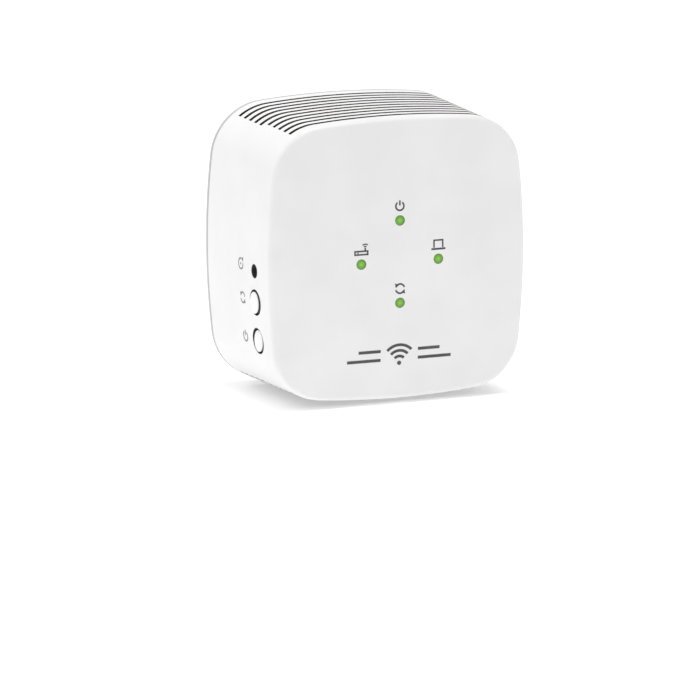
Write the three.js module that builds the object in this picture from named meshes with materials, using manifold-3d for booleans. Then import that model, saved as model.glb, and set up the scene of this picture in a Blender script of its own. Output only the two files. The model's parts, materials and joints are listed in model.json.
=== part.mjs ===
// Wifi range extender: a white plug-in box for a wall outlet, millimetres, +Z up.
// X runs across the face, +Y points into the wall and the face looks along -Y.
// The origin lies between the two plug blades, on the face that rests against the outlet.
import * as THREE from 'three';
import Module from 'manifold-3d';
import { mergeVertices } from 'three/addons/utils/BufferGeometryUtils.js';

const wasm = await Module();
wasm.setup();

// Case outline, seen along Y: four crowned sides joined by four corner arcs.
const HALF_WIDTH = 33.55;
const HALF_HEIGHT = 34.4;
const CENTRE_Z = 12.6;
const SIDE_CROWN_R = 194;
const TOP_CROWN_R = 216;
const CORNER_R = 13.1;
const CROWN_STEPS = 4;
const CORNER_STEPS = 7;

// Case depth, from the face back to the wall.
const FACE_RIM_Y = -40.5;
const FACE_DOME = 1.2;
const FACE_FILLET = 1.2;
const PARTING_Y = -2.8;
const PARTING_GAP = 0.25;
const COVER_REAR_Y = -1.2;
const COVER_FILLET = 0.8;
const COVER_INNER_Y = -3.2;
const DRAFT = 1.3;
const WALL = 1.8;
const FACE_INNER_Y = -38.6;
const LIP_FIT = 0.3;
const LIP_THICKNESS = 1.3;
const LIP_END_Y = -5.2;

// Vent slots across the roof and the floor of the case.
const SLOT_COUNT = 10;
const SLOT_PITCH = 3.25;
const SLOT_WIDTH = 1.4;
const SLOT_HALF_LENGTH = 26.1;
const FIRST_SLOT_Y = -36.2;
const SLOT_REACH = 5;
const VENT_RIB_X = [-14, 0, 14];
const VENT_RIB_WIDTH = 1.2;
const VENT_RIB_DEPTH = 1.6;

// Indicators: four light pipes on a ring behind the face.
const LED_CENTRE_Z = 12.1;
const LED_RING_R = 10.1;
const LED_HOLE_R = 1.4;
const PIPE_R = 1.23;
const PIPE_BACK_Y = -30.1;
const GUIDE_WEB_Y = [-36.6, -35.4];
const GUIDE_WEB_HALF = 0.9;

// Controls in the left side, all on one line.
const CONTROL_Y = -31.5;
const RESET_Z = 10.5;
const WPS_Z = 2.8;
const POWER_Z = -6.7;
const RESET_HOLE_R = 1.75;
const BUTTON_HOLE_R = 3.2;
const BUTTON_R = 2.65;
const BUTTON_FLANGE_R = 3.7;
const WPS_PROUD = 0.5;
const POWER_PROUD = 0.1;
const FLANGE_SETBACK = 0.75;
const FLANGE_THICKNESS = 0.8;
const BUTTON_STEM_R = 1.4;
const SWITCH_CLEARANCE = 0.2;
const CONTACT_GAP = 0.05;
const WPS_TRAVEL = 0.4;
const POWER_TRAVEL = 1.6;
const RESET_TRAVEL = 0.3;

// Corner bosses and the screws that close the case.
const BOSS_X = 24.5;
const BOSS_Z = 25.5;
const BOSS_R = 3;
const BOSS_END_Y = -6;
const SCREW_SHAFT_R = 1.1;
const SCREW_HEAD_R = 2.1;
const SCREW_FIT = 0.25;
const COUNTERBORE_Y = -4.5;
const HEAD_HEIGHT = 1.4;
const SCREW_END_Y = -16;

// Plug: two flat blades in an insulating carrier.
const BLADE_SPACING = 12.7;
const BLADE_WIDTH = 6.35;
const BLADE_THICKNESS = 1.52;
const BLADE_LENGTH = 17;
const BLADE_INNER_Y = -9;
const BLADE_HOLE_R = 1.6;
const BLADE_HOLE_Y = 11.9;
const BLADE_CHAMFER = 1.5;
const BLADE_FIT = 0.15;
const CARRIER_HALF = [13.5, 8];
const CARRIER_CORNER = 5;
const CARRIER_FLANGE = 2;
const CARRIER_FLANGE_Y = [-5, -3.5];
const CARRIER_INNER_Y = -7.5;
const CARRIER_FIT = 0.3;
const LABEL_HALF = [17, 9];
const LABEL_CENTRE_Z = 27;
const LABEL_THICKNESS = 0.25;
const LABEL_RECESS = 0.3;

// Boards stand upright, parallel to the face.
const MAIN_BOARD_Y = [-29, -27.8];
const MAIN_BOARD_INSET = 4;
const POWER_BOARD_Y = [-23.6, -22.2];
const POWER_BOARD_X = [-25.5, 25.5];
const POWER_BOARD_Z = [-9.2, 34.4];
const BOARD_SCREWS = [[-17, 35], [17, -9.5]];
const POST_R = 2.5;
const NOTCH_X = -26.6;
const NOTCH_Z = [-11.6, 7.4];
const REST_POSTS = [[-23, 31.5], [23, 31.5], [-23.6, -7.2], [23.6, -7.2]];
const REST_R = 1.5;
const SEAT_GAP = 0.05;

const ROUND = 20;
const SMALL_ROUND = 12;

const extender = new THREE.Group();

const FINISHES = {
  whiteCase: new THREE.MeshStandardMaterial({ color: 0xf1f1f0, roughness: 0.42, metalness: 0 }),
  whiteButton: new THREE.MeshStandardMaterial({ color: 0xececeb, roughness: 0.38, metalness: 0 }),
  greenPipe: new THREE.MeshStandardMaterial({ color: 0x6fae35, roughness: 0.2, metalness: 0 }),
  ledBody: new THREE.MeshStandardMaterial({ color: 0xe9e7d8, roughness: 0.4, metalness: 0 }),
  labelFilm: new THREE.MeshStandardMaterial({ color: 0xd9dadb, roughness: 0.5, metalness: 0 }),
  carrier: new THREE.MeshStandardMaterial({ color: 0xe6e6e4, roughness: 0.5, metalness: 0 }),
  nickel: new THREE.MeshStandardMaterial({ color: 0xc8c6bf, roughness: 0.25, metalness: 1 }),
  brass: new THREE.MeshStandardMaterial({ color: 0xc2a35a, roughness: 0.35, metalness: 1 }),
  steel: new THREE.MeshStandardMaterial({ color: 0xa9abad, roughness: 0.35, metalness: 1 }),
  aluminium: new THREE.MeshStandardMaterial({ color: 0xc4c7ca, roughness: 0.4, metalness: 1 }),
  boardGreen: new THREE.MeshStandardMaterial({ color: 0x1f5a38, roughness: 0.45, metalness: 0 }),
  boardTan: new THREE.MeshStandardMaterial({ color: 0xb08a4e, roughness: 0.6, metalness: 0 }),
  chip: new THREE.MeshStandardMaterial({ color: 0x1d1e20, roughness: 0.5, metalness: 0 }),
  switchBody: new THREE.MeshStandardMaterial({ color: 0x26272a, roughness: 0.5, metalness: 0 }),
  thermalPad: new THREE.MeshStandardMaterial({ color: 0x8fa6bd, roughness: 0.8, metalness: 0 }),
  sheet: new THREE.MeshStandardMaterial({ color: 0x2b2c2e, roughness: 0.6, metalness: 0 }),
  ferrite: new THREE.MeshStandardMaterial({ color: 0x3a3b3e, roughness: 0.65, metalness: 0 }),
  tape: new THREE.MeshStandardMaterial({ color: 0xe3bf3a, roughness: 0.5, metalness: 0 }),
  sleeve: new THREE.MeshStandardMaterial({ color: 0x23262f, roughness: 0.35, metalness: 0 }),
  ceramicBlue: new THREE.MeshStandardMaterial({ color: 0x2f62a8, roughness: 0.45, metalness: 0 }),
  ceramicWhite: new THREE.MeshStandardMaterial({ color: 0xdedcd2, roughness: 0.5, metalness: 0 }),
  coax: new THREE.MeshStandardMaterial({ color: 0x2c2d30, roughness: 0.45, metalness: 0 }),
};

// ---- small helpers ----

function span(start, end) {
  return [Math.min(start, end), Math.max(start, end)];
}

function around(centre, size) {
  return [centre - size / 2, centre + size / 2];
}

function box(x, y, z) {
  const block = new THREE.BoxGeometry(x[1] - x[0], y[1] - y[0], z[1] - z[0]);
  return block.translate((x[0] + x[1]) / 2, (y[0] + y[1]) / 2, (z[0] + z[1]) / 2);
}

// A round bar along Y, centred on x and z.
function barY(x, z, y, radius, sides = ROUND) {
  const bar = new THREE.CylinderGeometry(radius, radius, y[1] - y[0], sides);
  return bar.translate(x, (y[0] + y[1]) / 2, z);
}

// A round bar along X, centred on y and z.
function barX(x, y, z, radius, sides = ROUND) {
  const bar = new THREE.CylinderGeometry(radius, radius, x[1] - x[0], sides);
  return bar.rotateZ(Math.PI / 2).translate((x[0] + x[1]) / 2, y, z);
}

// Joining and cutting: geometry in, solid out, and back.
function solid(geometry) {
  const bare = geometry.clone();
  bare.deleteAttribute('normal');
  bare.deleteAttribute('uv');
  const merged = mergeVertices(bare, 1e-4);
  return new wasm.Manifold(new wasm.Mesh({
    numProp: 3,
    vertProperties: new Float32Array(merged.attributes.position.array),
    triVerts: new Uint32Array(merged.index.array),
  }));
}

function geometryOf(body) {
  const mesh = body.getMesh();
  const geometry = new THREE.BufferGeometry();
  geometry.setAttribute('position', new THREE.BufferAttribute(mesh.vertProperties, 3));
  geometry.setIndex(new THREE.BufferAttribute(mesh.triVerts, 1));
  geometry.computeVertexNormals();
  return geometry;
}

function joined(geometries) {
  return geometries.map(solid).reduce((whole, piece) => whole.add(piece));
}

function cut(body, geometries) {
  return geometries.map(solid).reduce((rest, tool) => rest.subtract(tool), body);
}

function place(name, shape, finish) {
  const geometry = shape.isBufferGeometry ? shape : geometryOf(shape);
  const mesh = new THREE.Mesh(geometry, FINISHES[finish]);
  mesh.name = name;
  extender.add(mesh);
}

// ---- the case outline ----

// Where the side arc and the top arc, both drawn in by the corner radius, cross.
function cornerCentre() {
  const sideX = HALF_WIDTH - SIDE_CROWN_R;
  const topZ = HALF_HEIGHT - TOP_CROWN_R;
  const sideR = SIDE_CROWN_R - CORNER_R;
  const topR = TOP_CROWN_R - CORNER_R;
  const apart = Math.hypot(sideX, topZ);
  const along = (sideR * sideR - topR * topR + apart * apart) / (2 * apart);
  const across = Math.sqrt(sideR * sideR - along * along);
  return {
    x: sideX + (-sideX * along - topZ * across) / apart,
    z: (topZ * along - sideX * across) / apart,
  };
}

function arcPoints(centreX, centreZ, radius, from, to, steps) {
  const points = [];
  for (let step = 0; step <= steps; step += 1) {
    const angle = from + ((to - from) * step) / steps;
    points.push([centreX + radius * Math.cos(angle), centreZ + radius * Math.sin(angle)]);
  }
  return points;
}

// The closed outline drawn in by inset, counter-clockwise, as [x, z] about the case centre.
function caseOutline(inset) {
  const corner = cornerCentre();
  const sideX = HALF_WIDTH - SIDE_CROWN_R;
  const topZ = HALF_HEIGHT - TOP_CROWN_R;
  const sideEnd = Math.atan2(corner.z, corner.x - sideX);
  const topStart = Math.atan2(corner.z - topZ, corner.x);
  const quarter = [
    ...arcPoints(sideX, 0, SIDE_CROWN_R - inset, 0, sideEnd, CROWN_STEPS),
    ...arcPoints(corner.x, corner.z, CORNER_R - inset, sideEnd, topStart, CORNER_STEPS).slice(1),
    ...arcPoints(0, topZ, TOP_CROWN_R - inset, topStart, Math.PI / 2, CROWN_STEPS).slice(1),
  ];
  const left = quarter.slice(0, -1).reverse().map(([x, z]) => [-x, z]);
  const top = [...quarter, ...left];
  const bottom = top.slice(1, -1).reverse().map(([x, z]) => [x, -z]);
  return [...top, ...bottom];
}

// The case is a little larger at the back than at the face.
function growth(y) {
  return (DRAFT * (y - FACE_RIM_Y)) / (COVER_REAR_Y - FACE_RIM_Y);
}

// A closed solid through case outlines stacked along Y, listed from the face to the back.
function loft(sections) {
  const rings = sections.map(({ y, inset, scale = 1 }) => (
    caseOutline(inset).map(([x, z]) => [x * scale, y, z * scale + CENTRE_Z])
  ));
  const count = rings[0].length;
  const positions = rings.flat(2);
  const faces = [];
  for (let ring = 0; ring + 1 < rings.length; ring += 1) {
    for (let i = 0; i < count; i += 1) {
      const a = ring * count + i;
      const b = ring * count + ((i + 1) % count);
      faces.push(a, b + count, b, a, a + count, b + count);
    }
  }
  const frontCentre = positions.length / 3;
  positions.push(0, sections[0].apex ?? sections[0].y, CENTRE_Z);
  positions.push(0, sections[sections.length - 1].y, CENTRE_Z);
  const last = (rings.length - 1) * count;
  for (let i = 0; i < count; i += 1) {
    const next = (i + 1) % count;
    faces.push(frontCentre, i, next);
    faces.push(frontCentre + 1, last + next, last + i);
  }
  const geometry = new THREE.BufferGeometry();
  geometry.setAttribute('position', new THREE.Float32BufferAttribute(positions, 3));
  geometry.setIndex(faces);
  geometry.computeVertexNormals();
  return geometry;
}

// ---- front housing ----

function slotsIn(side) {
  const slots = [];
  const mouth = CENTRE_Z + side * (HALF_HEIGHT + 3);
  const floor = CENTRE_Z + side * (HALF_HEIGHT - SLOT_REACH);
  for (let i = 0; i < SLOT_COUNT; i += 1) {
    const y = FIRST_SLOT_Y + i * SLOT_PITCH;
    const length = 2 * (SLOT_HALF_LENGTH + growth(y));
    slots.push(box(around(0, length), around(y, SLOT_WIDTH), span(floor, mouth)));
  }
  return slots;
}

function ventRibs(side) {
  const roof = HALF_HEIGHT - WALL;
  const front = FIRST_SLOT_Y - SLOT_PITCH / 2;
  const back = front + SLOT_COUNT * SLOT_PITCH;
  return VENT_RIB_X.map((x) => {
    const sag = (x * x) / (2 * TOP_CROWN_R);
    const outer = CENTRE_Z + side * (roof - sag + 0.3);
    const inner = CENTRE_Z + side * (roof - sag - VENT_RIB_DEPTH);
    return box(around(x, VENT_RIB_WIDTH), [front, back], span(inner, outer));
  });
}

function caseShell() {
  const fillet = [90, 60, 30].map((degrees) => {
    const turn = THREE.MathUtils.degToRad(degrees);
    return {
      y: FACE_RIM_Y + FACE_FILLET * (1 - Math.sin(turn)),
      inset: FACE_FILLET * (1 - Math.cos(turn)),
    };
  });
  const dome = [0.35, 0.6, 0.82].map((scale) => ({
    y: FACE_RIM_Y - FACE_DOME * (1 - scale * scale),
    inset: FACE_FILLET,
    scale,
  }));
  dome[0].apex = FACE_RIM_Y - FACE_DOME;
  const rearY = PARTING_Y - PARTING_GAP;
  const sideStart = FACE_RIM_Y + FACE_FILLET;
  const outer = loft([
    ...dome,
    ...fillet,
    { y: sideStart, inset: -growth(sideStart) },
    { y: rearY, inset: -growth(rearY) },
  ]);
  const inner = loft([
    { y: FACE_INNER_Y, inset: WALL + 0.6 },
    { y: FACE_INNER_Y + 0.8, inset: WALL - growth(FACE_INNER_Y) },
    { y: rearY + 1, inset: WALL - growth(rearY + 1) },
  ]);
  return solid(outer).subtract(solid(inner));
}

function cornerPoints() {
  const corners = [];
  for (const x of [-BOSS_X, BOSS_X]) {
    for (const z of [CENTRE_Z + BOSS_Z, CENTRE_Z - BOSS_Z]) {
      corners.push([x, z]);
    }
  }
  return corners;
}

function ledPoints() {
  return {
    top: [0, LED_CENTRE_Z + LED_RING_R],
    left: [-LED_RING_R, LED_CENTRE_Z],
    right: [LED_RING_R, LED_CENTRE_Z],
    bottom: [0, LED_CENTRE_Z - LED_RING_R],
  };
}

function antennaRails(side) {
  const wallX = side * (HALF_WIDTH - WALL / 2);
  const innerX = side * (ANTENNA.x - 1.5);
  return ANTENNA.railY.map((y) => (
    box(span(innerX, wallX), around(y, ANTENNA.railWidth), around(ANTENNA.z, ANTENNA.railHeight))
  ));
}

const ANTENNA = {
  x: 29.2,
  thickness: 0.8,
  y: [-24, -10],
  z: 25.6,
  height: 15,
  railY: [-24, -10],
  railWidth: 2.4,
  railHeight: 5,
  fit: 0.15,
};

function antennaBoard(side, grow) {
  const y = [ANTENNA.y[0] - grow, ANTENNA.y[1] + grow];
  const x = around(side * ANTENNA.x, ANTENNA.thickness + 2 * grow);
  return box(x, y, around(ANTENNA.z, ANTENNA.height + 2 * grow));
}

function frontHousing() {
  const frontWall = FACE_INNER_Y - 0.5;
  const bosses = cornerPoints().map(([x, z]) => barY(x, z, [frontWall, BOSS_END_Y], BOSS_R, 16));
  const posts = BOARD_SCREWS.map(([x, z]) => (
    barY(x, z, [frontWall, MAIN_BOARD_Y[0] - SEAT_GAP], POST_R, 16)
  ));
  const pilots = cornerPoints().map(([x, z]) => (
    barY(x, z, [SCREW_END_Y - 2, BOSS_END_Y + 1], SCREW_SHAFT_R + SCREW_FIT, SMALL_ROUND)
  ));
  const postPilots = BOARD_SCREWS.map(([x, z]) => (
    barY(x, z, [-36.5, MAIN_BOARD_Y[0] + 1], 0.9 + SCREW_FIT, SMALL_ROUND)
  ));
  const ledHoles = Object.values(ledPoints()).map(([x, z]) => (
    barY(x, z, [FACE_RIM_Y - 4, FACE_INNER_Y + 1], LED_HOLE_R, 16)
  ));
  const controls = [
    barX([-40, -30.2], CONTROL_Y, RESET_Z, RESET_HOLE_R, 16),
    barX([-40, -30.2], CONTROL_Y, WPS_Z, BUTTON_HOLE_R, 24),
    barX([-40, -30.2], CONTROL_Y, POWER_Z, BUTTON_HOLE_R, 24),
  ];
  let shell = cut(caseShell(), [...slotsIn(1), ...slotsIn(-1)]);
  const inside = [...ventRibs(1), ...ventRibs(-1), ...bosses, ...posts];
  shell = shell.add(joined([...inside, ...antennaRails(-1), ...antennaRails(1)]));
  const antennaSlots = [antennaBoard(-1, ANTENNA.fit), antennaBoard(1, ANTENNA.fit)];
  shell = cut(shell, [...pilots, ...postPilots, ...ledHoles, ...controls, ...antennaSlots]);
  place('front_housing', shell, 'whiteCase');
}

// ---- rear cover, label and case screws ----

function roundedBlock(half, corner, y, grow = 0) {
  const [halfX, halfZ] = half.map((value) => value + grow);
  const shape = new THREE.Shape();
  shape.absarc(halfX - corner, halfZ - corner, corner, 0, Math.PI / 2);
  shape.absarc(corner - halfX, halfZ - corner, corner, Math.PI / 2, Math.PI);
  shape.absarc(corner - halfX, corner - halfZ, corner, Math.PI, 1.5 * Math.PI);
  shape.absarc(halfX - corner, corner - halfZ, corner, 1.5 * Math.PI, 2 * Math.PI);
  const block = new THREE.ExtrudeGeometry(shape, {
    depth: y[1] - y[0],
    bevelEnabled: false,
    curveSegments: 5,
  });
  return block.rotateX(Math.PI / 2).translate(0, y[1], 0);
}

function rearCover() {
  const flange = loft([
    { y: PARTING_Y, inset: -growth(PARTING_Y) },
    { y: COVER_REAR_Y - COVER_FILLET, inset: -growth(COVER_REAR_Y) },
    { y: COVER_REAR_Y - 0.3 * COVER_FILLET, inset: 0.3 * COVER_FILLET - growth(COVER_REAR_Y) },
    { y: COVER_REAR_Y, inset: COVER_FILLET - growth(COVER_REAR_Y) },
  ]);
  const lipInset = WALL + LIP_FIT - growth(PARTING_Y);
  const lip = loft([{ y: LIP_END_Y, inset: lipInset }, { y: PARTING_Y + 0.2, inset: lipInset }]);
  const hollow = loft([
    { y: LIP_END_Y - 1, inset: lipInset + LIP_THICKNESS },
    { y: COVER_INNER_Y, inset: lipInset + LIP_THICKNESS },
  ]);
  const sockets = cornerPoints().map(([x, z]) => (
    barY(x, z, [BOSS_END_Y + 0.3, COVER_INNER_Y + 0.5], BOSS_R + 0.5, 16)
  ));
  const counterbores = cornerPoints().map(([x, z]) => (
    barY(x, z, [COUNTERBORE_Y, COVER_REAR_Y + 1], SCREW_HEAD_R + SCREW_FIT, 16)
  ));
  const shaftHoles = cornerPoints().map(([x, z]) => (
    barY(x, z, [BOSS_END_Y - 1, COVER_REAR_Y], SCREW_SHAFT_R + SCREW_FIT, SMALL_ROUND)
  ));
  const rests = REST_POSTS.map(([x, z]) => (
    barY(x, z, [POWER_BOARD_Y[1] + SEAT_GAP, COVER_INNER_Y + 0.5], REST_R, SMALL_ROUND)
  ));
  const plugOpening = roundedBlock(CARRIER_HALF, CARRIER_CORNER, [-8, 1], CARRIER_FIT);
  const labelRecess = box(
    [-LABEL_HALF[0] - 0.2, LABEL_HALF[0] + 0.2],
    [COVER_REAR_Y - LABEL_RECESS, COVER_REAR_Y + 1],
    around(LABEL_CENTRE_Z, 2 * LABEL_HALF[1] + 0.4),
  );
  const inside = joined([...sockets, ...rests]);
  let cover = solid(flange).add(solid(lip)).subtract(solid(hollow)).add(inside);
  cover = cut(cover, [...counterbores, ...shaftHoles, plugOpening, labelRecess]);
  place('rear_cover', cover, 'whiteCase');
  const labelBack = COVER_REAR_Y - LABEL_RECESS + SEAT_GAP / 2;
  const label = box(
    [-LABEL_HALF[0], LABEL_HALF[0]],
    [labelBack, labelBack + LABEL_THICKNESS],
    around(LABEL_CENTRE_Z, 2 * LABEL_HALF[1]),
  );
  place('rating_label', label, 'labelFilm');
}

function screwAlongY(x, z, headY, tipY, headHeight, headR, shaftR) {
  const back = Math.sign(headY - tipY);
  const headEnd = headY + back * headHeight;
  return joined([
    barY(x, z, span(headY, headEnd), headR, 16),
    barY(x, z, span(tipY, headY + back * headHeight * 0.5), shaftR, SMALL_ROUND),
  ]);
}

function caseScrews() {
  const names = ['upper_left', 'lower_left', 'upper_right', 'lower_right'];
  cornerPoints().forEach(([x, z], i) => {
    const seat = COUNTERBORE_Y + SEAT_GAP;
    const screw = screwAlongY(x, z, seat, SCREW_END_Y, HEAD_HEIGHT, SCREW_HEAD_R, SCREW_SHAFT_R);
    place(`case_screw_${names[i]}`, screw, 'steel');
  });
}

// ---- plug ----

function plugBlade(x) {
  const halfWidth = BLADE_WIDTH / 2;
  const outline = new THREE.Shape();
  outline.moveTo(BLADE_INNER_Y, -halfWidth);
  outline.lineTo(BLADE_LENGTH - BLADE_CHAMFER, -halfWidth);
  outline.lineTo(BLADE_LENGTH, BLADE_CHAMFER - halfWidth);
  outline.lineTo(BLADE_LENGTH, halfWidth - BLADE_CHAMFER);
  outline.lineTo(BLADE_LENGTH - BLADE_CHAMFER, halfWidth);
  outline.lineTo(BLADE_INNER_Y, halfWidth);
  const hole = new THREE.Path();
  hole.absarc(BLADE_HOLE_Y, 0, BLADE_HOLE_R, 0, 2 * Math.PI, true);
  outline.holes.push(hole);
  const blade = new THREE.ExtrudeGeometry(outline, {
    depth: BLADE_THICKNESS,
    bevelEnabled: false,
    curveSegments: 8,
  });
  // The outline is drawn with Y across the page and Z up it, then stood on its edge.
  const upright = new THREE.Matrix4().makeBasis(
    new THREE.Vector3(0, 1, 0),
    new THREE.Vector3(0, 0, 1),
    new THREE.Vector3(1, 0, 0),
  );
  return blade.applyMatrix4(upright).translate(x - BLADE_THICKNESS / 2, 0, 0);
}

function plug() {
  const core = roundedBlock(CARRIER_HALF, CARRIER_CORNER, [CARRIER_INNER_Y, 0]);
  const flange = roundedBlock(CARRIER_HALF, CARRIER_CORNER, CARRIER_FLANGE_Y, CARRIER_FLANGE);
  const blades = { left: -BLADE_SPACING / 2, right: BLADE_SPACING / 2 };
  const slots = Object.values(blades).map((x) => box(
    around(x, BLADE_THICKNESS + 2 * BLADE_FIT),
    [CARRIER_INNER_Y - 1, 1],
    around(0, BLADE_WIDTH + 2 * BLADE_FIT),
  ));
  place('blade_carrier', cut(joined([core, flange]), slots), 'carrier');
  for (const [side, x] of Object.entries(blades)) {
    place(`blade_${side}`, plugBlade(x), 'nickel');
    const strip = box(
      around(x, 0.8),
      [POWER_BOARD_Y[1] + SEAT_GAP, BLADE_INNER_Y - SEAT_GAP],
      around(0, 4),
    );
    place(`contact_strip_${side}`, strip, 'brass');
  }
}

// ---- controls in the left side ----

// The left side's outer surface at a height.
function sideX(y, z) {
  const fall = SIDE_CROWN_R - Math.sqrt(SIDE_CROWN_R ** 2 - (z - CENTRE_Z) ** 2);
  return fall - HALF_WIDTH - growth(y);
}

function pushButton(z, innerX, proud) {
  const wallX = sideX(CONTROL_Y, z);
  const outerX = wallX - proud;
  const flangeX = wallX + WALL + FLANGE_SETBACK;
  const flangeEnd = flangeX + FLANGE_THICKNESS;
  const crown = new THREE.CylinderGeometry(BUTTON_R, BUTTON_R - 0.7, 0.3, 24);
  crown.rotateZ(Math.PI / 2).translate(outerX + 0.15, CONTROL_Y, z);
  return joined([
    crown,
    barX([outerX + 0.28, flangeEnd], CONTROL_Y, z, BUTTON_R, 24),
    barX([flangeX, flangeEnd], CONTROL_Y, z, BUTTON_FLANGE_R, 24),
    barX([flangeEnd - 0.2, innerX], CONTROL_Y, z, BUTTON_STEM_R, SMALL_ROUND),
  ]);
}

function slidingSwitch(name, { z, tipX, bodyX, plungerR, depth, travel, height }) {
  const plungerEnd = bodyX[0] + depth;
  const cavity = barX(
    [bodyX[0] - 1, plungerEnd + travel + SWITCH_CLEARANCE],
    CONTROL_Y,
    z,
    plungerR + SWITCH_CLEARANCE,
    16,
  );
  const bodyY = [CONTROL_Y - height / 2, MAIN_BOARD_Y[0] - SEAT_GAP];
  const body = box(bodyX, bodyY, around(z, height));
  place(`${name}_body`, cut(solid(body), [cavity]), 'switchBody');
  place(`${name}_plunger`, barX([tipX, plungerEnd], CONTROL_Y, z, plungerR, 16), 'switchBody');
}

function controls() {
  const wpsTip = -27.6;
  const powerTip = -27.6;
  place('wps_button', pushButton(WPS_Z, wpsTip - CONTACT_GAP, WPS_PROUD), 'whiteButton');
  place('power_button', pushButton(POWER_Z, powerTip - CONTACT_GAP, POWER_PROUD), 'whiteButton');
  slidingSwitch('wps_switch', {
    z: WPS_Z, tipX: wpsTip, bodyX: [-25.8, -21], plungerR: 1.3, depth: 1.2, travel: WPS_TRAVEL, height: 5,
  });
  slidingSwitch('power_switch', {
    z: POWER_Z, tipX: powerTip, bodyX: [-24.8, -15], plungerR: 1.5, depth: 4, travel: POWER_TRAVEL, height: 5,
  });
  slidingSwitch('reset_switch', {
    z: RESET_Z, tipX: -30.6, bodyX: [-28.6, -24.2], plungerR: 1, depth: 1, travel: RESET_TRAVEL, height: 4.6,
  });
}

// ---- indicators ----

function faceY(x, z) {
  const share = Math.hypot(x / HALF_WIDTH, (z - CENTRE_Z) / HALF_HEIGHT);
  return FACE_RIM_Y - FACE_DOME * (1 - share * share);
}

function indicators() {
  const pipes = Object.values(ledPoints()).map(([x, z]) => (
    barY(x, z, [faceY(x, z) + 0.05, PIPE_BACK_Y], PIPE_R, 16)
  ));
  const ring = new THREE.LatheGeometry([
    new THREE.Vector2(LED_RING_R - GUIDE_WEB_HALF, GUIDE_WEB_Y[0]),
    new THREE.Vector2(LED_RING_R + GUIDE_WEB_HALF, GUIDE_WEB_Y[0]),
    new THREE.Vector2(LED_RING_R + GUIDE_WEB_HALF, GUIDE_WEB_Y[1]),
    new THREE.Vector2(LED_RING_R - GUIDE_WEB_HALF, GUIDE_WEB_Y[1]),
    new THREE.Vector2(LED_RING_R - GUIDE_WEB_HALF, GUIDE_WEB_Y[0]),
  ], 32).translate(0, 0, LED_CENTRE_Z);
  place('light_guide', joined([ring, ...pipes]), 'greenPipe');
  for (const [name, [x, z]] of Object.entries(ledPoints())) {
    const led = box(around(x, 1.8), [MAIN_BOARD_Y[0] - 0.75, MAIN_BOARD_Y[0] - SEAT_GAP], around(z, 1.2));
    place(`status_led_${name}`, led, 'ledBody');
  }
}

// ---- main board ----

function onFront(x, z, height, base = 0) {
  const back = MAIN_BOARD_Y[0] - SEAT_GAP - base;
  return box(x, [back - height, back], z);
}

function mainBoard() {
  const slab = loft([
    { y: MAIN_BOARD_Y[0], inset: MAIN_BOARD_INSET },
    { y: MAIN_BOARD_Y[1], inset: MAIN_BOARD_INSET },
  ]);
  const bossHoles = cornerPoints().map(([x, z]) => barY(x, z, [-30, -27], BOSS_R + 0.5, 16));
  const screwHoles = BOARD_SCREWS.map(([x, z]) => barY(x, z, [-30, -27], 1.15, SMALL_ROUND));
  const buttonNotch = box([-40, NOTCH_X], [-30, -27], NOTCH_Z);
  place('main_board', cut(solid(slab), [...bossHoles, ...screwHoles, buttonNotch]), 'boardGreen');
  BOARD_SCREWS.forEach(([x, z], i) => {
    const seat = MAIN_BOARD_Y[1] + SEAT_GAP;
    place(`board_screw_${i + 1}`, screwAlongY(x, z, seat, -35.5, 1.2, 1.7, 0.9), 'steel');
  });
}

function processorStack() {
  const z = around(LED_CENTRE_Z, 11);
  const x = around(0, 11);
  place('processor', onFront(x, z, 0.95), 'chip');
  place('thermal_pad', onFront(x, z, 0.5, 1), 'thermalPad');
  const sinkX = around(0, 13);
  const sinkZ = around(LED_CENTRE_Z, 13);
  const base = onFront(sinkX, sinkZ, 1.2, 1.55);
  const fins = [-5.8, -2.9, 0, 2.9, 5.8].map((offset) => (
    onFront(around(offset, 1.1), sinkZ, 3.4, 2.55)
  ));
  place('heat_sink', joined([base, ...fins]), 'aluminium');
}

function boardChips() {
  place('memory_chip', onFront([-12, -3], around(-5.2, 7.5), 1.05), 'chip');
  place('flash_chip', onFront([1.5, 7], around(-5.2, 5), 1.4), 'chip');
  place('crystal', onFront([9.5, 12.7], around(-5.2, 2.5), 0.8), 'steel');
}

function radioSection() {
  const x = [-11, 13];
  const z = [26, 37.5];
  const height = 2.6;
  const skin = 0.4;
  const can = onFront(x, z, height);
  const hollow = box(
    [x[0] + skin, x[1] - skin],
    [MAIN_BOARD_Y[0] - height + skin, MAIN_BOARD_Y[0] + 1],
    [z[0] + skin, z[1] - skin],
  );
  place('radio_shield', cut(solid(can), [hollow]), 'nickel');
  place('radio_chip', onFront(around(1, 7), around(31.7, 7), 0.95), 'chip');
}

// A coaxial lead from a plug on the back of the main board out to the antenna.
function antennaLead(side) {
  const boardBack = MAIN_BOARD_Y[1] + SEAT_GAP;
  const start = new THREE.Vector3(side * 20, boardBack + 0.6, 27);
  const route = new THREE.CatmullRomCurve3([
    start,
    new THREE.Vector3(side * 23, boardBack + 1, 26.4),
    new THREE.Vector3(side * 26.4, -23.6, 24.6),
    new THREE.Vector3(side * 27.7, -20.4, 23.2),
    new THREE.Vector3(side * 28, -16.6, 22.6),
  ]);
  const section = new THREE.Shape();
  section.absarc(0, 0, 0.57, 0, 2 * Math.PI);
  const lead = new THREE.ExtrudeGeometry(section, {
    extrudePath: route,
    steps: 16,
    curveSegments: 4,
  });
  const plugBody = barY(start.x, start.z, [boardBack, boardBack + 1.3], 1.3, SMALL_ROUND);
  return joined([lead, plugBody]);
}

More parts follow.
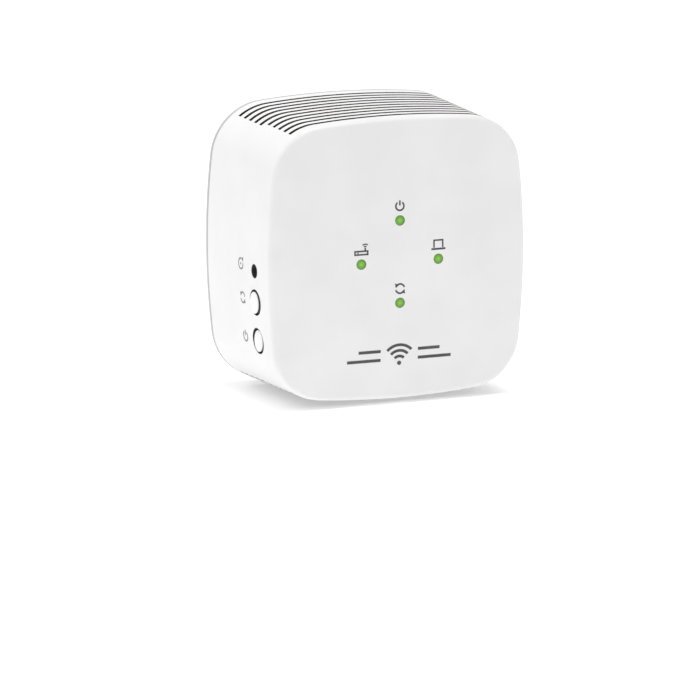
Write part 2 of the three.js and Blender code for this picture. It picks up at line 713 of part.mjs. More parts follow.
function antennas() {
  for (const [name, side] of [['left', -1], ['right', 1]]) {
    place(`antenna_${name}`, antennaBoard(side, 0), 'boardGreen');
    place(`antenna_lead_${name}`, antennaLead(side), 'coax');
  }
}

// ---- power board ----

function onRear(x, z, height, base = 0) {
  const front = POWER_BOARD_Y[1] + SEAT_GAP + base;
  return box(x, [front, front + height], z);
}

function standingCan(x, z, radius, height) {
  const front = POWER_BOARD_Y[1] + SEAT_GAP;
  return barY(x, z, [front, front + height], radius, ROUND);
}

function powerBoard() {
  place('power_board', box(POWER_BOARD_X, POWER_BOARD_Y, POWER_BOARD_Z), 'boardTan');
  const between = [MAIN_BOARD_Y[1] + SEAT_GAP, POWER_BOARD_Y[0] - SEAT_GAP];
  place('board_header', box([4, 15], between, [-8.6, -4.6]), 'switchBody');
  place('insulating_sheet', box([-23, 23], [-24.4, -24], [-3.6, 34]), 'sheet');
}

function transformer() {
  const x = 6.5;
  const z = 25;
  place('transformer_bobbin', onRear(around(x, 17), around(z, 14.5), 1.4), 'switchBody');
  place('transformer_winding', onRear(around(x, 12.6), around(z, 10.6), 12.5, 1.45), 'tape');
  const ring = onRear(around(x, 19), around(z, 15), 6.5, 4.5);
  const window = onRear(around(x, 13.2), around(z, 11.2), 8.5, 3.5);
  place('transformer_core', cut(solid(ring), [window]), 'ferrite');
}

function powerParts() {
  place('bulk_capacitor_1', standingCan(-14, 29, 5, 15), 'sleeve');
  place('bulk_capacitor_2', standingCan(-18, 16.5, 5, 15), 'sleeve');
  place('output_capacitor', standingCan(21, 17, 4, 11), 'sleeve');
  place('line_choke', standingCan(-19.5, 4, 4, 8), 'ferrite');
  place('fuse', standingCan(-20, -5, 2.2, 9), 'ceramicWhite');
  place('varistor', onRear(around(-13.2, 3), around(-3.5, 7), 8), 'ceramicBlue');
  place('safety_capacitor', onRear(around(2.5, 6.5), around(11.5, 3.2), 7.5), 'ceramicBlue');
  place('bridge_rectifier', onRear(around(-8, 6.5), around(11.6, 7), 2.6), 'chip');
  place('optocoupler', onRear(around(13, 4.6), around(8.5, 6.5), 3.4), 'chip');
}

frontHousing();
rearCover();
caseScrews();
plug();
controls();
indicators();
mainBoard();
processorStack();
boardChips();
radioSection();
antennas();
powerBoard();
transformer();
powerParts();

export default extender;
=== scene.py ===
"""A plug-in wifi range extender: the visual model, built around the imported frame.

Lengths in the shape functions are millimetres in the frame's axes: X across the face, +Y into the wall
and +Z up. finish_piece turns them to metres when a piece is done.
"""

import json
import math

import bmesh
import bpy
from mathutils import Matrix, Vector


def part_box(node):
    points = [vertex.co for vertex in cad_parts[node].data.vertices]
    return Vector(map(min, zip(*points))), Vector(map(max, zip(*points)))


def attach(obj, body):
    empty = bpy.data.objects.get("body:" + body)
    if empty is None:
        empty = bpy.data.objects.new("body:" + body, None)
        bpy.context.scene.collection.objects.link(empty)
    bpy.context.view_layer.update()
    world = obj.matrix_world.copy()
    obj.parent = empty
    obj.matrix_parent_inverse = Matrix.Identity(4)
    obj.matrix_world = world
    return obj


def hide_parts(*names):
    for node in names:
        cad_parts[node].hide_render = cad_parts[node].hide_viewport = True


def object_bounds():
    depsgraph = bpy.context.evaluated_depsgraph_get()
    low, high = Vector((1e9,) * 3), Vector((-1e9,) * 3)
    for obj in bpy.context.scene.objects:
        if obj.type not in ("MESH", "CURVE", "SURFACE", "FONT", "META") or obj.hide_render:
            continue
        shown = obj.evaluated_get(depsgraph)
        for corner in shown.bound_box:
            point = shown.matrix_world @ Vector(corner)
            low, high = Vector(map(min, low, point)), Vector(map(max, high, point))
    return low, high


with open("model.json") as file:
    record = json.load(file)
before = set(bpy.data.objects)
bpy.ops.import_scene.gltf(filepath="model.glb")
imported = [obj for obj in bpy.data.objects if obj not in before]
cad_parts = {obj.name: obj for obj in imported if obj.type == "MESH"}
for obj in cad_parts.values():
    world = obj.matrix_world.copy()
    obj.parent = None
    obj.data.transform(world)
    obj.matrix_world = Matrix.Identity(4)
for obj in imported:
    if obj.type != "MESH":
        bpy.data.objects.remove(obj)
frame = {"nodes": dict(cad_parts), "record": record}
cad_low, cad_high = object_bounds()

MM = 0.001
X_AXIS, Y_AXIS, Z_AXIS = Vector((1, 0, 0)), Vector((0, 1, 0)), Vector((0, 0, 1))
BODY_OF = {node: body for body, nodes in frame["record"]["behaviour"]["bodies"].items() for node in nodes}


def node_box(name):
    """A node's lowest and highest corners, in millimetres."""
    low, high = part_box(name)
    return low / MM, high / MM


def node_middle(name):
    low, high = node_box(name)
    return (low + high) / 2


# ---- driving sizes, millimetres ----

housing_low, housing_high = node_box("front_housing")
cover_low, cover_high = node_box("rear_cover")

CENTRE_Z = (cover_low.z + cover_high.z) / 2
REAR_Y = cover_high.y
HOUSING_END_Y = housing_high.y
PARTING_GAP = 0.25
PARTING_Y = HOUSING_END_Y + PARTING_GAP
DOME = 1.2
RIM_Y = housing_low.y + DOME
DRAFT = 1.3
HALF_WIDTH = cover_high.x - DRAFT
HALF_HEIGHT = cover_high.z - CENTRE_Z - DRAFT
SIDE_CROWN_R = 194
TOP_CROWN_R = 216
CORNER_R = 13.1
FACE_FILLET = 1.2
WALL = 1.45
SIDE_STEPS, CORNER_STEPS = 32, 20

SLOT_COUNT = 10
SLOT_PITCH = 3.25
SLOT_WIDTH = 1.4
FIRST_SLOT_Y = -36.2
SLOT_HALF_LENGTH = 26.1

CONTROL_Y = -31.5
RESET_Z = 10.5
WPS_Z = 2.8
POWER_Z = -6.7
RESET_HOLE_R = 1.75
BUTTON_HOLE_R = 3.2
BUTTON_R = 2.65
BUTTON_FLANGE_R = 3.75
BUTTON_STEM_R = 1.4

LED_Z = 12.1
LED_RING_R = 10.1
LED_HOLE_R = 1.27
LED_LENS_R = 1.23
LED_POINTS = {
    "top": (0, LED_Z + LED_RING_R),
    "left": (-LED_RING_R, LED_Z),
    "right": (LED_RING_R, LED_Z),
    "bottom": (0, LED_Z - LED_RING_R),
}

BOSS_X, BOSS_Z, BOSS_R = 24.5, 25.5, 3
COVER_INNER_Y = -3.2
COVER_FILLET = 0.9
LIP_END_Y = -5.2
LIP_THICKNESS = 1.3
SOCKET_R = 3.5
SOCKET_END_Y = -5.7
SCREW_SEAT_Y = -4.5
SCREW_HEAD_R = 2.1
SCREW_HOLE_R = 1.35
PLUG_HALF_X, PLUG_HALF_Z, PLUG_CORNER_R = 13.5, 8, 5
PLUG_FIT = 0.3
CORNERS = [(sx * BOSS_X, CENTRE_Z + sz * BOSS_Z) for sx in (-1, 1) for sz in (-1, 1)]

BLADE_X = 6.35
BLADE_HALF_HEIGHT = 3.17
BLADE_THICKNESS = 1.52
BLADE_TIP_Y = node_box("blade_left")[1].y
BLADE_HOLE_Y = 11.9
BLADE_HOLE_R = 1.6

PRINT_LIFT = 0.03
INK_THICKNESS = 0.02

main_front_y = node_box("main_board")[0].y
power_front_y = node_box("power_board")[0].y
power_rear_y = node_box("power_board")[1].y


# ---- materials ----


def linear(hex_colour):
    """An sRGB hex colour as linear RGBA."""
    parts = [int(hex_colour[i : i + 2], 16) / 255 for i in (0, 2, 4)]
    return [c / 12.92 if c <= 0.04045 else ((c + 0.055) / 1.055) ** 2.4 for c in parts] + [1.0]


def add(tree, kind, inputs=None, **settings):
    """Adds one shader node: settings are its properties, inputs are values or links."""
    made = tree.nodes.new("ShaderNode" + kind)
    for name, value in settings.items():
        setattr(made, name, value)
    for name, value in (inputs or {}).items():
        if isinstance(value, bpy.types.NodeSocket):
            tree.links.new(value, made.inputs[name])
        else:
            made.inputs[name].default_value = value
    return made


def new_material(name, **constants):
    """A named material: constants are plain values for the shader's own sockets."""
    material = bpy.data.materials.new(name)
    material.use_nodes = True
    tree = material.node_tree
    shader = tree.nodes["Principled BSDF"]
    for socket, value in constants.items():
        shader.inputs[socket.replace("_", " ")].default_value = value
    place = add(tree, "TexCoord").outputs["Object"]
    return material, tree, shader, place


def stretched(tree, place, scale, turn=(0, 0, 0)):
    """The place, squeezed or turned, for a pattern that runs one way."""
    turned_by = tuple(math.radians(a) for a in turn)
    return add(tree, "Mapping", {"Vector": place, "Scale": scale, "Rotation": turned_by}).outputs["Vector"]


def two_tone(tree, factor, low_hex, high_hex, low=0.35, high=0.65):
    """A colour that goes from one shade to another as factor goes from low to high."""
    ramp = add(tree, "ValToRGB", {"Fac": factor})
    for element, position, shade in zip(ramp.color_ramp.elements, (low, high), (low_hex, high_hex)):
        element.position = position
        element.color = linear(shade)
    return ramp.outputs["Color"]


def noise(tree, place, size_mm, detail=2):
    """Soft noise whose patches are about size_mm across."""
    inputs = {"Vector": place, "Scale": 1 / (size_mm * MM), "Detail": detail}
    return add(tree, "TexNoise", inputs).outputs["Fac"]


def ranged(tree, value, low, high, start=0.3, end=0.7):
    """A value that goes from low to high as another goes from start to end."""
    inputs = {"Value": value, "From Min": start, "From Max": end, "To Min": low, "To Max": high}
    return add(tree, "MapRange", inputs).outputs["Result"]


def bumped(tree, shader, height, height_mm):
    """Raises the surface by up to height_mm where the pattern is high."""
    bump = add(tree, "Bump", {"Height": height, "Distance": height_mm * MM, "Strength": 1.0})
    tree.links.new(bump.outputs["Normal"], shader.inputs["Normal"])


def moulded(name, low_hex, high_hex, roughness, grain_mm=0.25, height_mm=0.004, patch_mm=14, **constants):
    """A moulded plastic: faint drift in colour and gloss under an even spark-eroded grain."""
    material, tree, shader, place = new_material(name, **constants)
    drift = noise(tree, place, patch_mm)
    tree.links.new(two_tone(tree, drift, low_hex, high_hex), shader.inputs["Base Color"])
    gloss = ranged(tree, noise(tree, place, patch_mm / 2), roughness - 0.03, roughness + 0.03)
    tree.links.new(gloss, shader.inputs["Roughness"])
    bumped(tree, shader, noise(tree, place, grain_mm, 1), height_mm)
    return material


def worked_metal(name, low_hex, high_hex, roughness, line_mm, run, height_mm=0.002, spread=0.08):
    """A metal with fine lines left by rolling, stamping or turning: run squeezes them on each axis."""
    material, tree, shader, place = new_material(name, Metallic=1.0)
    lines = noise(tree, stretched(tree, place, run), line_mm, 3)
    stain = noise(tree, place, 6)
    tree.links.new(two_tone(tree, stain, low_hex, high_hex), shader.inputs["Base Color"])
    tree.links.new(ranged(tree, lines, roughness - spread, roughness + spread), shader.inputs["Roughness"])
    bumped(tree, shader, lines, height_mm)
    return material


def circuit_laminate(name, mask_low, mask_high, track_hex, track_mm, roughness):
    """A circuit board: a lacquer film over copper tracks, which show through it as paler raised lines."""
    material, tree, shader, place = new_material(name, Coat_Weight=0.3, Coat_Roughness=0.15)
    flat = stretched(tree, place, (1, 1, 1), (90, 0, 0))
    tracks = add(
        tree,
        "TexBrick",
        {
            "Vector": flat,
            "Scale": 1.0,
            "Mortar Size": track_mm * MM,
            "Mortar Smooth": 0.2,
            "Brick Width": track_mm * 90 * MM,
            "Row Height": track_mm * 2.6 * MM,
            "Color1": linear(mask_low),
            "Color2": linear(mask_high),
            "Mortar": linear(track_hex),
        },
        offset=0.35,
        squash=1.7,
        squash_frequency=3,
    )
    cloth = ranged(tree, noise(tree, place, 0.4), 0.94, 1.06)
    weave = add(tree, "HueSaturation", {"Color": tracks.outputs["Color"], "Value": cloth})
    tree.links.new(weave.outputs["Color"], shader.inputs["Base Color"])
    gloss = ranged(tree, noise(tree, place, 3), roughness - 0.05, roughness + 0.05)
    tree.links.new(gloss, shader.inputs["Roughness"])
    bumped(tree, shader, tracks.outputs["Fac"], 0.03)
    return material


def lit_green_acrylic():
    """Clear acrylic lens with a green lamp behind it: brightest in the middle, deeper green at its edge."""
    material, tree, shader, place = new_material("lit_green_acrylic", Roughness=0.12, IOR=1.49)
    glow = add(tree, "Attribute", attribute_name="glow").outputs["Fac"]
    haze = ranged(tree, noise(tree, place, 0.5), -0.06, 0.06)
    clouded = add(tree, "Math", {0: glow, 1: haze}, operation="ADD")
    tint = two_tone(tree, clouded.outputs["Value"], "5c9f26", "98d455", 0.05, 0.95)
    tree.links.new(tint, shader.inputs["Emission Color"])
    tree.links.new(two_tone(tree, glow, "2d5212", "4d7f22", 0, 1), shader.inputs["Base Color"])
    shader.inputs["Emission Strength"].default_value = 0.55
    return material


def clear_acrylic():
    """Clear moulded acrylic: glassy, with a faint green cast from the lamps it carries."""
    material, tree, shader, place = new_material("clear_acrylic", IOR=1.49, Transmission_Weight=0.85)
    tree.links.new(two_tone(tree, noise(tree, place, 5), "d4ecc4", "e2f4d8"), shader.inputs["Base Color"])
    tree.links.new(ranged(tree, noise(tree, place, 2), 0.08, 0.16), shader.inputs["Roughness"])
    return material


def dipped(name, low_hex, high_hex):
    """A dipped resin coat: thick, glossy and a little uneven, as it drained."""
    material, tree, shader, place = new_material(name, Coat_Weight=0.6, Coat_Roughness=0.08)
    tree.links.new(two_tone(tree, noise(tree, place, 2.5), low_hex, high_hex), shader.inputs["Base Color"])
    tree.links.new(ranged(tree, noise(tree, place, 1.5), 0.22, 0.34), shader.inputs["Roughness"])
    bumped(tree, shader, noise(tree, place, 1.8), 0.05)
    return material


def wound_tape():
    """Polyester tape wound round a coil: overlapping glossy bands, each with a soft edge."""
    material, tree, shader, place = new_material("wound_polyester_tape", Roughness=0.3, Coat_Weight=0.3)
    bands = add(
        tree,
        "TexWave",
        {"Vector": place, "Scale": 1 / (20 * MM), "Distortion": 0.4},
        bands_direction="Y",
        wave_profile="SAW",
    ).outputs["Fac"]
    tree.links.new(two_tone(tree, bands, "d9a520", "efc544", 0.0, 0.9), shader.inputs["Base Color"])
    bumped(tree, shader, bands, 0.06)
    return material


def sleeved(name, sleeve_hex, stripe_hex, centre, radius):
    """Shrink sleeve on a capacitor can: a dark glossy film with one pale stripe down the side."""
    material, tree, shader, place = new_material(name, Roughness=0.32, Coat_Weight=0.25)
    about = add(tree, "VectorMath", {0: place, 1: centre * MM}, operation="SUBTRACT").outputs["Vector"]
    along_x = add(tree, "SeparateXYZ", {"Vector": about}).outputs["X"]
    on_stripe = ranged(tree, along_x, 0, 1, radius * 0.84 * MM, radius * 0.88 * MM)
    stripe = two_tone(tree, on_stripe, sleeve_hex, stripe_hex, 0, 1)
    tree.links.new(stripe, shader.inputs["Base Color"])
    bumped(tree, shader, noise(tree, place, 1.2), 0.02)
    return material


# Satin white ABS/PC from a finely spark-eroded tool: soft highlights on a silky, very slightly warm white.
# The real grain is about 0.05 mm and wouldn't show, so it is drawn 0.25 mm wide.
satin_white_abs = moulded("satin_white_abs", "efeeee", "f3f2f2", 0.42)

# The same white plastic toned pale grey as a painted shade, so the cover reads as a thin darker line of
# shade round the back edge.
edge_shade_grey_abs = moulded("edge_shade_grey_abs", "c2c2c3", "c9c9ca", 0.44)

# The same plastic on the walls of slots and holes, toned down as it is where little light reaches.
shaded_white_abs = moulded("shaded_white_abs", "3e3e3e", "484848", 0.6)

# Smoother white ABS on the push buttons, polished by fingers to a softer, brighter sheen.
polished_white_abs = moulded("polished_white_abs", "f2f1f1", "f7f6f6", 0.3, 0.2, 0.002)

# Silicone skirt round each button, matt and dark grey as a painted shade, so that the gap round the cap
# reads as a dark ring of shade.
gap_shade_silicone = moulded("gap_shade_silicone", "56565a", "606064", 0.62, 0.2, 0.003)

# White PBT of the blade carrier: harder, a little greyer and glossier than the case.
pbt_white = moulded("pbt_white", "dfdfdd", "e6e6e4", 0.34, 0.3, 0.003)

# Matt polyester label film, printed silver-white.
polyester_label = moulded("polyester_label", "d9dadb", "dfe0e1", 0.36, 0.15, 0.001, 8)

# Pad-printed ink on the case: matt dark grey with slightly uneven cover.
grey_print_ink = moulded("grey_print_ink", "48484b", "525255", 0.6, 0.3, 0.002, 3)

# Paler ink of the same kind, for the small marks beside the buttons and the label's frame.
light_print_ink = moulded("light_print_ink", "7a7a7d", "848487", 0.6, 0.3, 0.002, 3)

# Nickel-plated brass blades: bright, with fine drawing lines along the blade.
nickel_plated_brass = worked_metal("nickel_plated_brass", "b9b6ae", "cfccc4", 0.24, 0.25, (1, 0.05, 1))

# Rolled brass strip: warm yellow with dull patches.
rolled_brass = worked_metal("rolled_brass", "b08d45", "c9a75c", 0.32, 0.3, (1, 0.1, 1))

# Zinc-plated steel screws: cool silver with a faint passivated tint.
zinc_plated_steel = worked_metal("zinc_plated_steel", "a9adb3", "c6c9cc", 0.3, 0.3, (1, 1, 1))

# Tin-plated pressed steel can: bright and slightly rippled.
tinned_steel = worked_metal("tinned_steel", "b4b6b6", "cbcdcc", 0.26, 1.2, (1, 1, 0.3), 0.01)

# Extruded aluminium heat sink, clear anodised: soft grey sheen with lines along the extrusion.
anodised_aluminium = worked_metal("anodised_aluminium", "a7a9ab", "bcbec0", 0.38, 0.2, (1, 1, 0.05))

# Solder and tinned legs: dull silver.
solder_tin = worked_metal("solder_tin", "a6a8a8", "bdbfbe", 0.36, 0.5, (1, 1, 1), 0.01)

# Enamelled copper winding wire: reddish, glossy lacquer.
enamelled_copper = worked_metal("enamelled_copper", "8c4220", "a85a30", 0.25, 0.4, (1, 1, 1))

# Glass-epoxy laminate under green solder lacquer.
green_laminate = circuit_laminate("green_laminate", "17522d", "1a5a32", "2c7a45", 0.22, 0.38)

# Phenolic-paper laminate of the power board: tan, with wide tracks.
tan_laminate = circuit_laminate("tan_laminate", "a67c45", "ad844c", "b9935d", 0.7, 0.5)

# Moulded epoxy chip body: matt black with fine filler grain.
chip_epoxy = moulded("chip_epoxy", "1d1d1f", "252527", 0.55, 0.12, 0.003, 3)

# Glass-filled nylon of switches and the bobbin: black with a slight sheen.
black_nylon = moulded("black_nylon", "1c1c1d", "232325", 0.42, 0.2, 0.004, 4)

# Silicone gap pad: soft matt blue-grey.
silicone_pad = moulded("silicone_pad", "8296a6", "90a3b2", 0.75, 0.3, 0.01, 3)

# Black polypropylene insulating sheet: smooth with a dull shine.
polypropylene_sheet = moulded("polypropylene_sheet", "161617", "1e1e20", 0.35, 0.5, 0.006, 10)

# Sintered ferrite: dark grey with a fine dry grain.
sintered_ferrite = moulded("sintered_ferrite", "37373a", "434346", 0.7, 0.15, 0.008, 2)

# Glazed ceramic fuse tube: clean off-white.
glazed_ceramic = moulded("glazed_ceramic", "e4e0d6", "ebe8df", 0.2, 0.4, 0.003, 3)

# Fired chip resistors and capacitors: pale brown ceramic.
chip_ceramic = moulded("chip_ceramic", "8d7052", "a08263", 0.5, 0.1, 0.003, 2)

# White epoxy lamp package.
lamp_epoxy = moulded("lamp_epoxy", "e9e7dc", "f2f0e6", 0.35, 0.1, 0.002, 1)

# Black fluoropolymer jacket of the aerial leads: slippery and smooth.
fluoropolymer_jacket = moulded("fluoropolymer_jacket", "202022", "29292b", 0.28, 0.3, 0.002, 6)

# Blue epoxy dip of the varistor and the safety capacitor.
blue_resin = dipped("blue_dipped_resin", "1d4f93", "2860a8")
lit_lens = lit_green_acrylic()
light_pipe = clear_acrylic()
yellow_tape = wound_tape()


# ---- shape helpers ----


def arc(centre, radius, start, end, steps):
    """Points on an arc about centre, both ends included, angles in radians."""
    points = []
    for step in range(steps + 1):
        angle = start + (end - start) * step / steps
        points.append((centre[0] + radius * math.cos(angle), centre[1] + radius * math.sin(angle)))
    return points


def corner_centre():
    """Where the side arc and the top arc, both drawn in by the corner radius, cross."""
    side_r = SIDE_CROWN_R - CORNER_R
    top_r = TOP_CROWN_R - CORNER_R
    apart = math.hypot(SIDE_ARC_X, TOP_ARC_Z)
    along = (side_r**2 - top_r**2 + apart**2) / (2 * apart)
    across = math.sqrt(side_r**2 - along**2)
    x = SIDE_ARC_X + (-SIDE_ARC_X * along - TOP_ARC_Z * across) / apart
    z = (TOP_ARC_Z * along - SIDE_ARC_X * across) / apart
    return x, z


SIDE_ARC_X = HALF_WIDTH - SIDE_CROWN_R
TOP_ARC_Z = HALF_HEIGHT - TOP_CROWN_R
CORNER_X, CORNER_Z = corner_centre()


def case_outline(inset):
    """The case outline drawn in by inset, as (x, z) about the case centre, from the right side round."""
    side_end = math.atan2(CORNER_Z, CORNER_X - SIDE_ARC_X)
    top_start = math.atan2(CORNER_Z - TOP_ARC_Z, CORNER_X)
    quarter = arc((SIDE_ARC_X, 0), SIDE_CROWN_R - inset, 0, side_end, SIDE_STEPS)
    quarter += arc((CORNER_X, CORNER_Z), CORNER_R - inset, side_end, top_start, CORNER_STEPS)[1:]
    quarter += arc((0, TOP_ARC_Z), TOP_CROWN_R - inset, top_start, math.pi / 2, SIDE_STEPS)[1:]
    top = quarter + [(-x, z) for x, z in reversed(quarter[:-1])]
    return top + [(x, -z) for x, z in reversed(top[1:-1])]


def growth(y):
    """How far the case has grown at y, because it is a little larger at the back."""
    return DRAFT * (y - RIM_Y) / (REAR_Y - RIM_Y)


def face_y(x, z):
    """The domed face's surface at a point, z from the case centre."""
    return RIM_Y - DOME * (1 - (x / HALF_WIDTH) ** 2) * (1 - (z / HALF_HEIGHT) ** 2)


def side_x(y, z):
    """The left side's surface at a point, z from the case centre."""
    return SIDE_CROWN_R - HALF_WIDTH - math.sqrt((SIDE_CROWN_R + growth(y)) ** 2 - z**2)


def loop(bm, points):
    """A closed loop of edges through points."""
    verts = [bm.verts.new(p) for p in points]
    return [bm.edges.new(pair) for pair in zip(verts, verts[1:] + verts[:1])]


def case_loop(bm, y, inset):
    """A loop of edges along the case outline at y."""
    return loop(bm, [(x, y, z + CENTRE_Z) for x, z in case_outline(inset)])


def bridge(bm, loops):
    """A skin through a row of loops, each joined to the next."""
    for first, second in zip(loops, loops[1:]):
        bmesh.ops.bridge_loops(bm, edges=first + second)


def moved_part(geometry, kind):
    """What an operator made, of one kind: verts, edges or faces."""
    return [item for item in geometry if isinstance(item, kind)]


def open_up(bm, inside):
    """Takes away the faces whose middle is inside, and gives the edges round the opening."""
    faces = {f for f in bm.faces if inside(f.calc_center_median())}
    rim = {e for f in faces for e in f.edges if set(e.link_faces) - faces}
    bmesh.ops.delete(bm, geom=list(faces), context="FACES")
    return list(rim)


def open_round(bm, near, centre, radius, flat, place):
    """Opens a round hole: takes away the faces near it, and draws their edge in to a circle."""
    made = bmesh.ops.extrude_edge_only(bm, edges=open_up(bm, near))["geom"]
    ring = moved_part(made, bmesh.types.BMVert)

    def turn_of(vert):
        across, up = flat(vert.co)
        return math.atan2(up - centre[1], across - centre[0]) % (2 * math.pi)

    ring.sort(key=turn_of)
    even = 2 * math.pi / len(ring)
    first = sum(turn_of(vert) - i * even for i, vert in enumerate(ring)) / len(ring)
    for i, vert in enumerate(ring):
        angle = first + i * even
        vert.co = place(centre[0] + radius * math.cos(angle), centre[1] + radius * math.sin(angle))


def turned(bm, profile, centre, axis, steps=48):
    """A solid turned about an axis: profile points are (radius, place along the axis)."""
    out = Z_AXIS if abs(axis.z) < 0.5 else X_AXIS
    verts = [bm.verts.new(centre + out * radius + axis * along) for radius, along in profile]
    edges = [bm.edges.new(pair) for pair in zip(verts, verts[1:])]
    before = set(bm.verts) - set(verts)
    bmesh.ops.spin(
        bm, geom=verts + edges, cent=centre, axis=axis, angle=2 * math.pi, steps=steps, use_merge=True
    )
    bmesh.ops.remove_doubles(bm, verts=[v for v in bm.verts if v not in before], dist=1e-4)


def rounded_rectangle(half_x, half_z, corner, centre_z=0, centre_x=0, steps=8):
    """The outline of a rectangle with round corners, as (x, z) points."""
    points = []
    for turn, (sx, sz) in enumerate([(1, 1), (-1, 1), (-1, -1), (1, -1)]):
        middle = (centre_x + sx * (half_x - corner), centre_z + sz * (half_z - corner))
        points += arc(middle, corner, turn * math.pi / 2, (turn + 1) * math.pi / 2, steps)
    return points


def drawn_out(bm, points, vector):
    """A solid: a closed outline filled and drawn out along a vector."""
    face = bm.faces.new([bm.verts.new(p) for p in points])
    made = bmesh.ops.extrude_face_region(bm, geom=[face])["geom"]
    bmesh.ops.translate(bm, verts=moved_part(made, bmesh.types.BMVert), vec=vector)


def plate(bm, outline, start_y, end_y):
    """A flat plate with an (x, z) outline, from one y to another."""
    drawn_out(bm, [(x, start_y, z) for x, z in outline], (0, end_y - start_y, 0))


def block(bm, low, high, corner=0.0):
    """A box between two corners, its long edges rounded when a corner radius is given."""
    low, high = Vector(low), Vector(high)
    size = high - low
    matrix = Matrix.Translation((low + high) / 2) @ Matrix.Diagonal((*size, 1))
    made = bmesh.ops.create_cube(bm, size=1, matrix=matrix)
    if corner:
        edges = list({e for v in made["verts"] for e in v.link_edges})
        bmesh.ops.bevel(
            bm,
            geom=edges,
            offset=corner,
            segments=2,
            profile=0.5,
            affect="EDGES",
            material=-1,
            clamp_overlap=True,
        )


def strap(bm, path, across, thickness):
    """A bent strip of metal: an edge as wide as across, drawn along a path and thickened."""
    start = Vector(path[0])
    edge = bm.edges.new([bm.verts.new(start + across * side) for side in (-0.5, 0.5)])
    faces = []
    for first, second in zip(path, path[1:]):
        made = bmesh.ops.extrude_edge_only(bm, edges=[edge])["geom"]
        moved = moved_part(made, bmesh.types.BMVert)
        bmesh.ops.translate(bm, verts=moved, vec=Vector(second) - Vector(first))
        edge = next(e for e in moved_part(made, bmesh.types.BMEdge) if set(e.verts) == set(moved))
        faces += moved_part(made, bmesh.types.BMFace)
    bmesh.ops.solidify(bm, geom=faces, thickness=thickness)


def face_outwards(bm):
    """Turns every face so that the shape is the right way out."""
    bmesh.ops.recalc_face_normals(bm, faces=bm.faces)
    if bm.calc_volume(signed=True) < 0:
        bmesh.ops.reverse_faces(bm, faces=bm.faces)


def loose_object(bm, name):
    """A bmesh as an object of its own, for a modifier to work on."""
    mesh = bpy.data.meshes.new(name)
    face_outwards(bm)
    bm.to_mesh(mesh)
    bm.free()
    thing = bpy.data.objects.new(name, mesh)
    bpy.context.scene.collection.objects.link(thing)
    return thing


def carved(bm, tool, operation="DIFFERENCE"):
    """The solid cut by, or joined with, another solid."""
    body, cutter = loose_object(bm, "carved_body"), loose_object(tool, "carving_tool")
    carving = body.modifiers.new("carve", "BOOLEAN")
    carving.object = cutter
    carving.operation = operation
    carving.solver = "EXACT"
    result = bmesh.new()
    result.from_object(body, bpy.context.evaluated_depsgraph_get())
    for thing in (body, cutter):
        mesh = thing.data
        bpy.data.objects.remove(thing)
        bpy.data.meshes.remove(mesh)
    return result


def finish_piece(bm, name, material, body, replaced=(), smooth_angle=35):
    """Turns a bmesh in millimetres into a piece of the model that rides on a body."""
    face_outwards(bm)
    bmesh.ops.scale(bm, vec=(MM, MM, MM), verts=bm.verts)
    mesh = bpy.data.meshes.new(name)
    bm.to_mesh(mesh)
    bm.free()
    mesh.shade_smooth()
    mesh.set_sharp_from_angle(angle=math.radians(smooth_angle))
    for each in material if isinstance(material, (list, tuple)) else [material]:
        mesh.materials.append(each)
    piece = bpy.data.objects.new(name, mesh)
    bpy.context.scene.collection.objects.link(piece)
    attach(piece, body)
    if replaced:
        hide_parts(*replaced)
    return piece


def thicken(piece, wall_mm, rim_material=0):
    """Gives a skin its wall, inwards."""
    solid = piece.modifiers.new("wall", "SOLIDIFY")
    solid.thickness = wall_mm * MM
    solid.offset = -1
    solid.use_even_offset = True
    solid.use_rim = True
    solid.material_offset_rim = rim_material


def soften(piece, width_mm, segments=2, angle=40):
    """Rounds a piece's sharp edges a little, as a mould or a tumble leaves them."""
    edge = piece.modifiers.new("soft_edges", "BEVEL")
    edge.width = width_mm * MM
    edge.segments = segments
    edge.limit_method = "ANGLE"
    edge.angle_limit = math.radians(angle)
    edge.harden_normals = True
    edge.use_clamp_overlap = True


def softened_node(node, material, width_mm=0.2, extra=None):
    """A node's own shape with its edges rounded; extra adds to the shape first."""
    bm = bmesh.new()
    bm.from_mesh(frame["nodes"][node].data)
    bmesh.ops.scale(bm, vec=(1 / MM, 1 / MM, 1 / MM), verts=bm.verts)
    bmesh.ops.remove_doubles(bm, verts=bm.verts, dist=0.002)
    bmesh.ops.dissolve_limit(bm, angle_limit=math.radians(1), verts=bm.verts, edges=bm.edges)
    if extra:
        extra(bm)
    piece = finish_piece(bm, node + "_body", material, BODY_OF[node], [node])
    soften(piece, width_mm)
    return piece


# ---- front housing ----


def face_skin(bm):
    """The domed face: a square of grid in the middle, joined to the rim's outline."""
    cells = 2 * SIDE_STEPS + CORNER_STEPS
    half = 2 * LED_RING_R
    lie = Matrix.Translation((0, RIM_Y, LED_Z)) @ Matrix.Rotation(math.pi / 2, 4, "X")
    bmesh.ops.create_grid(bm, x_segments=cells, y_segments=cells, size=half, matrix=lie)
    square = [e for e in bm.edges if e.is_boundary]
    rim = case_loop(bm, RIM_Y, FACE_FILLET)
    made = bmesh.ops.bridge_loops(bm, edges=square + rim)
    across = [e for e in made["edges"] if e.is_valid and e not in square and e not in rim]
    bmesh.ops.subdivide_edges(bm, edges=across, cuts=8)
    reach = 3.2 * 2 * half / cells
    for x, z in LED_POINTS.values():

        def near(point, x=x, z=z):
            return abs(point.x - x) < reach and abs(point.z - z) < reach

        def flat(co):
            return co.x, co.z

        def place(across, up):
            return Vector((across, RIM_Y, up))

        open_round(bm, near, (x, z), LED_HOLE_R, flat, place)
    for vert in bm.verts:
        vert.co.y = face_y(vert.co.x, vert.co.z - CENTRE_Z)
    return [e for e in bm.edges if e.is_boundary and on_rim(e)]


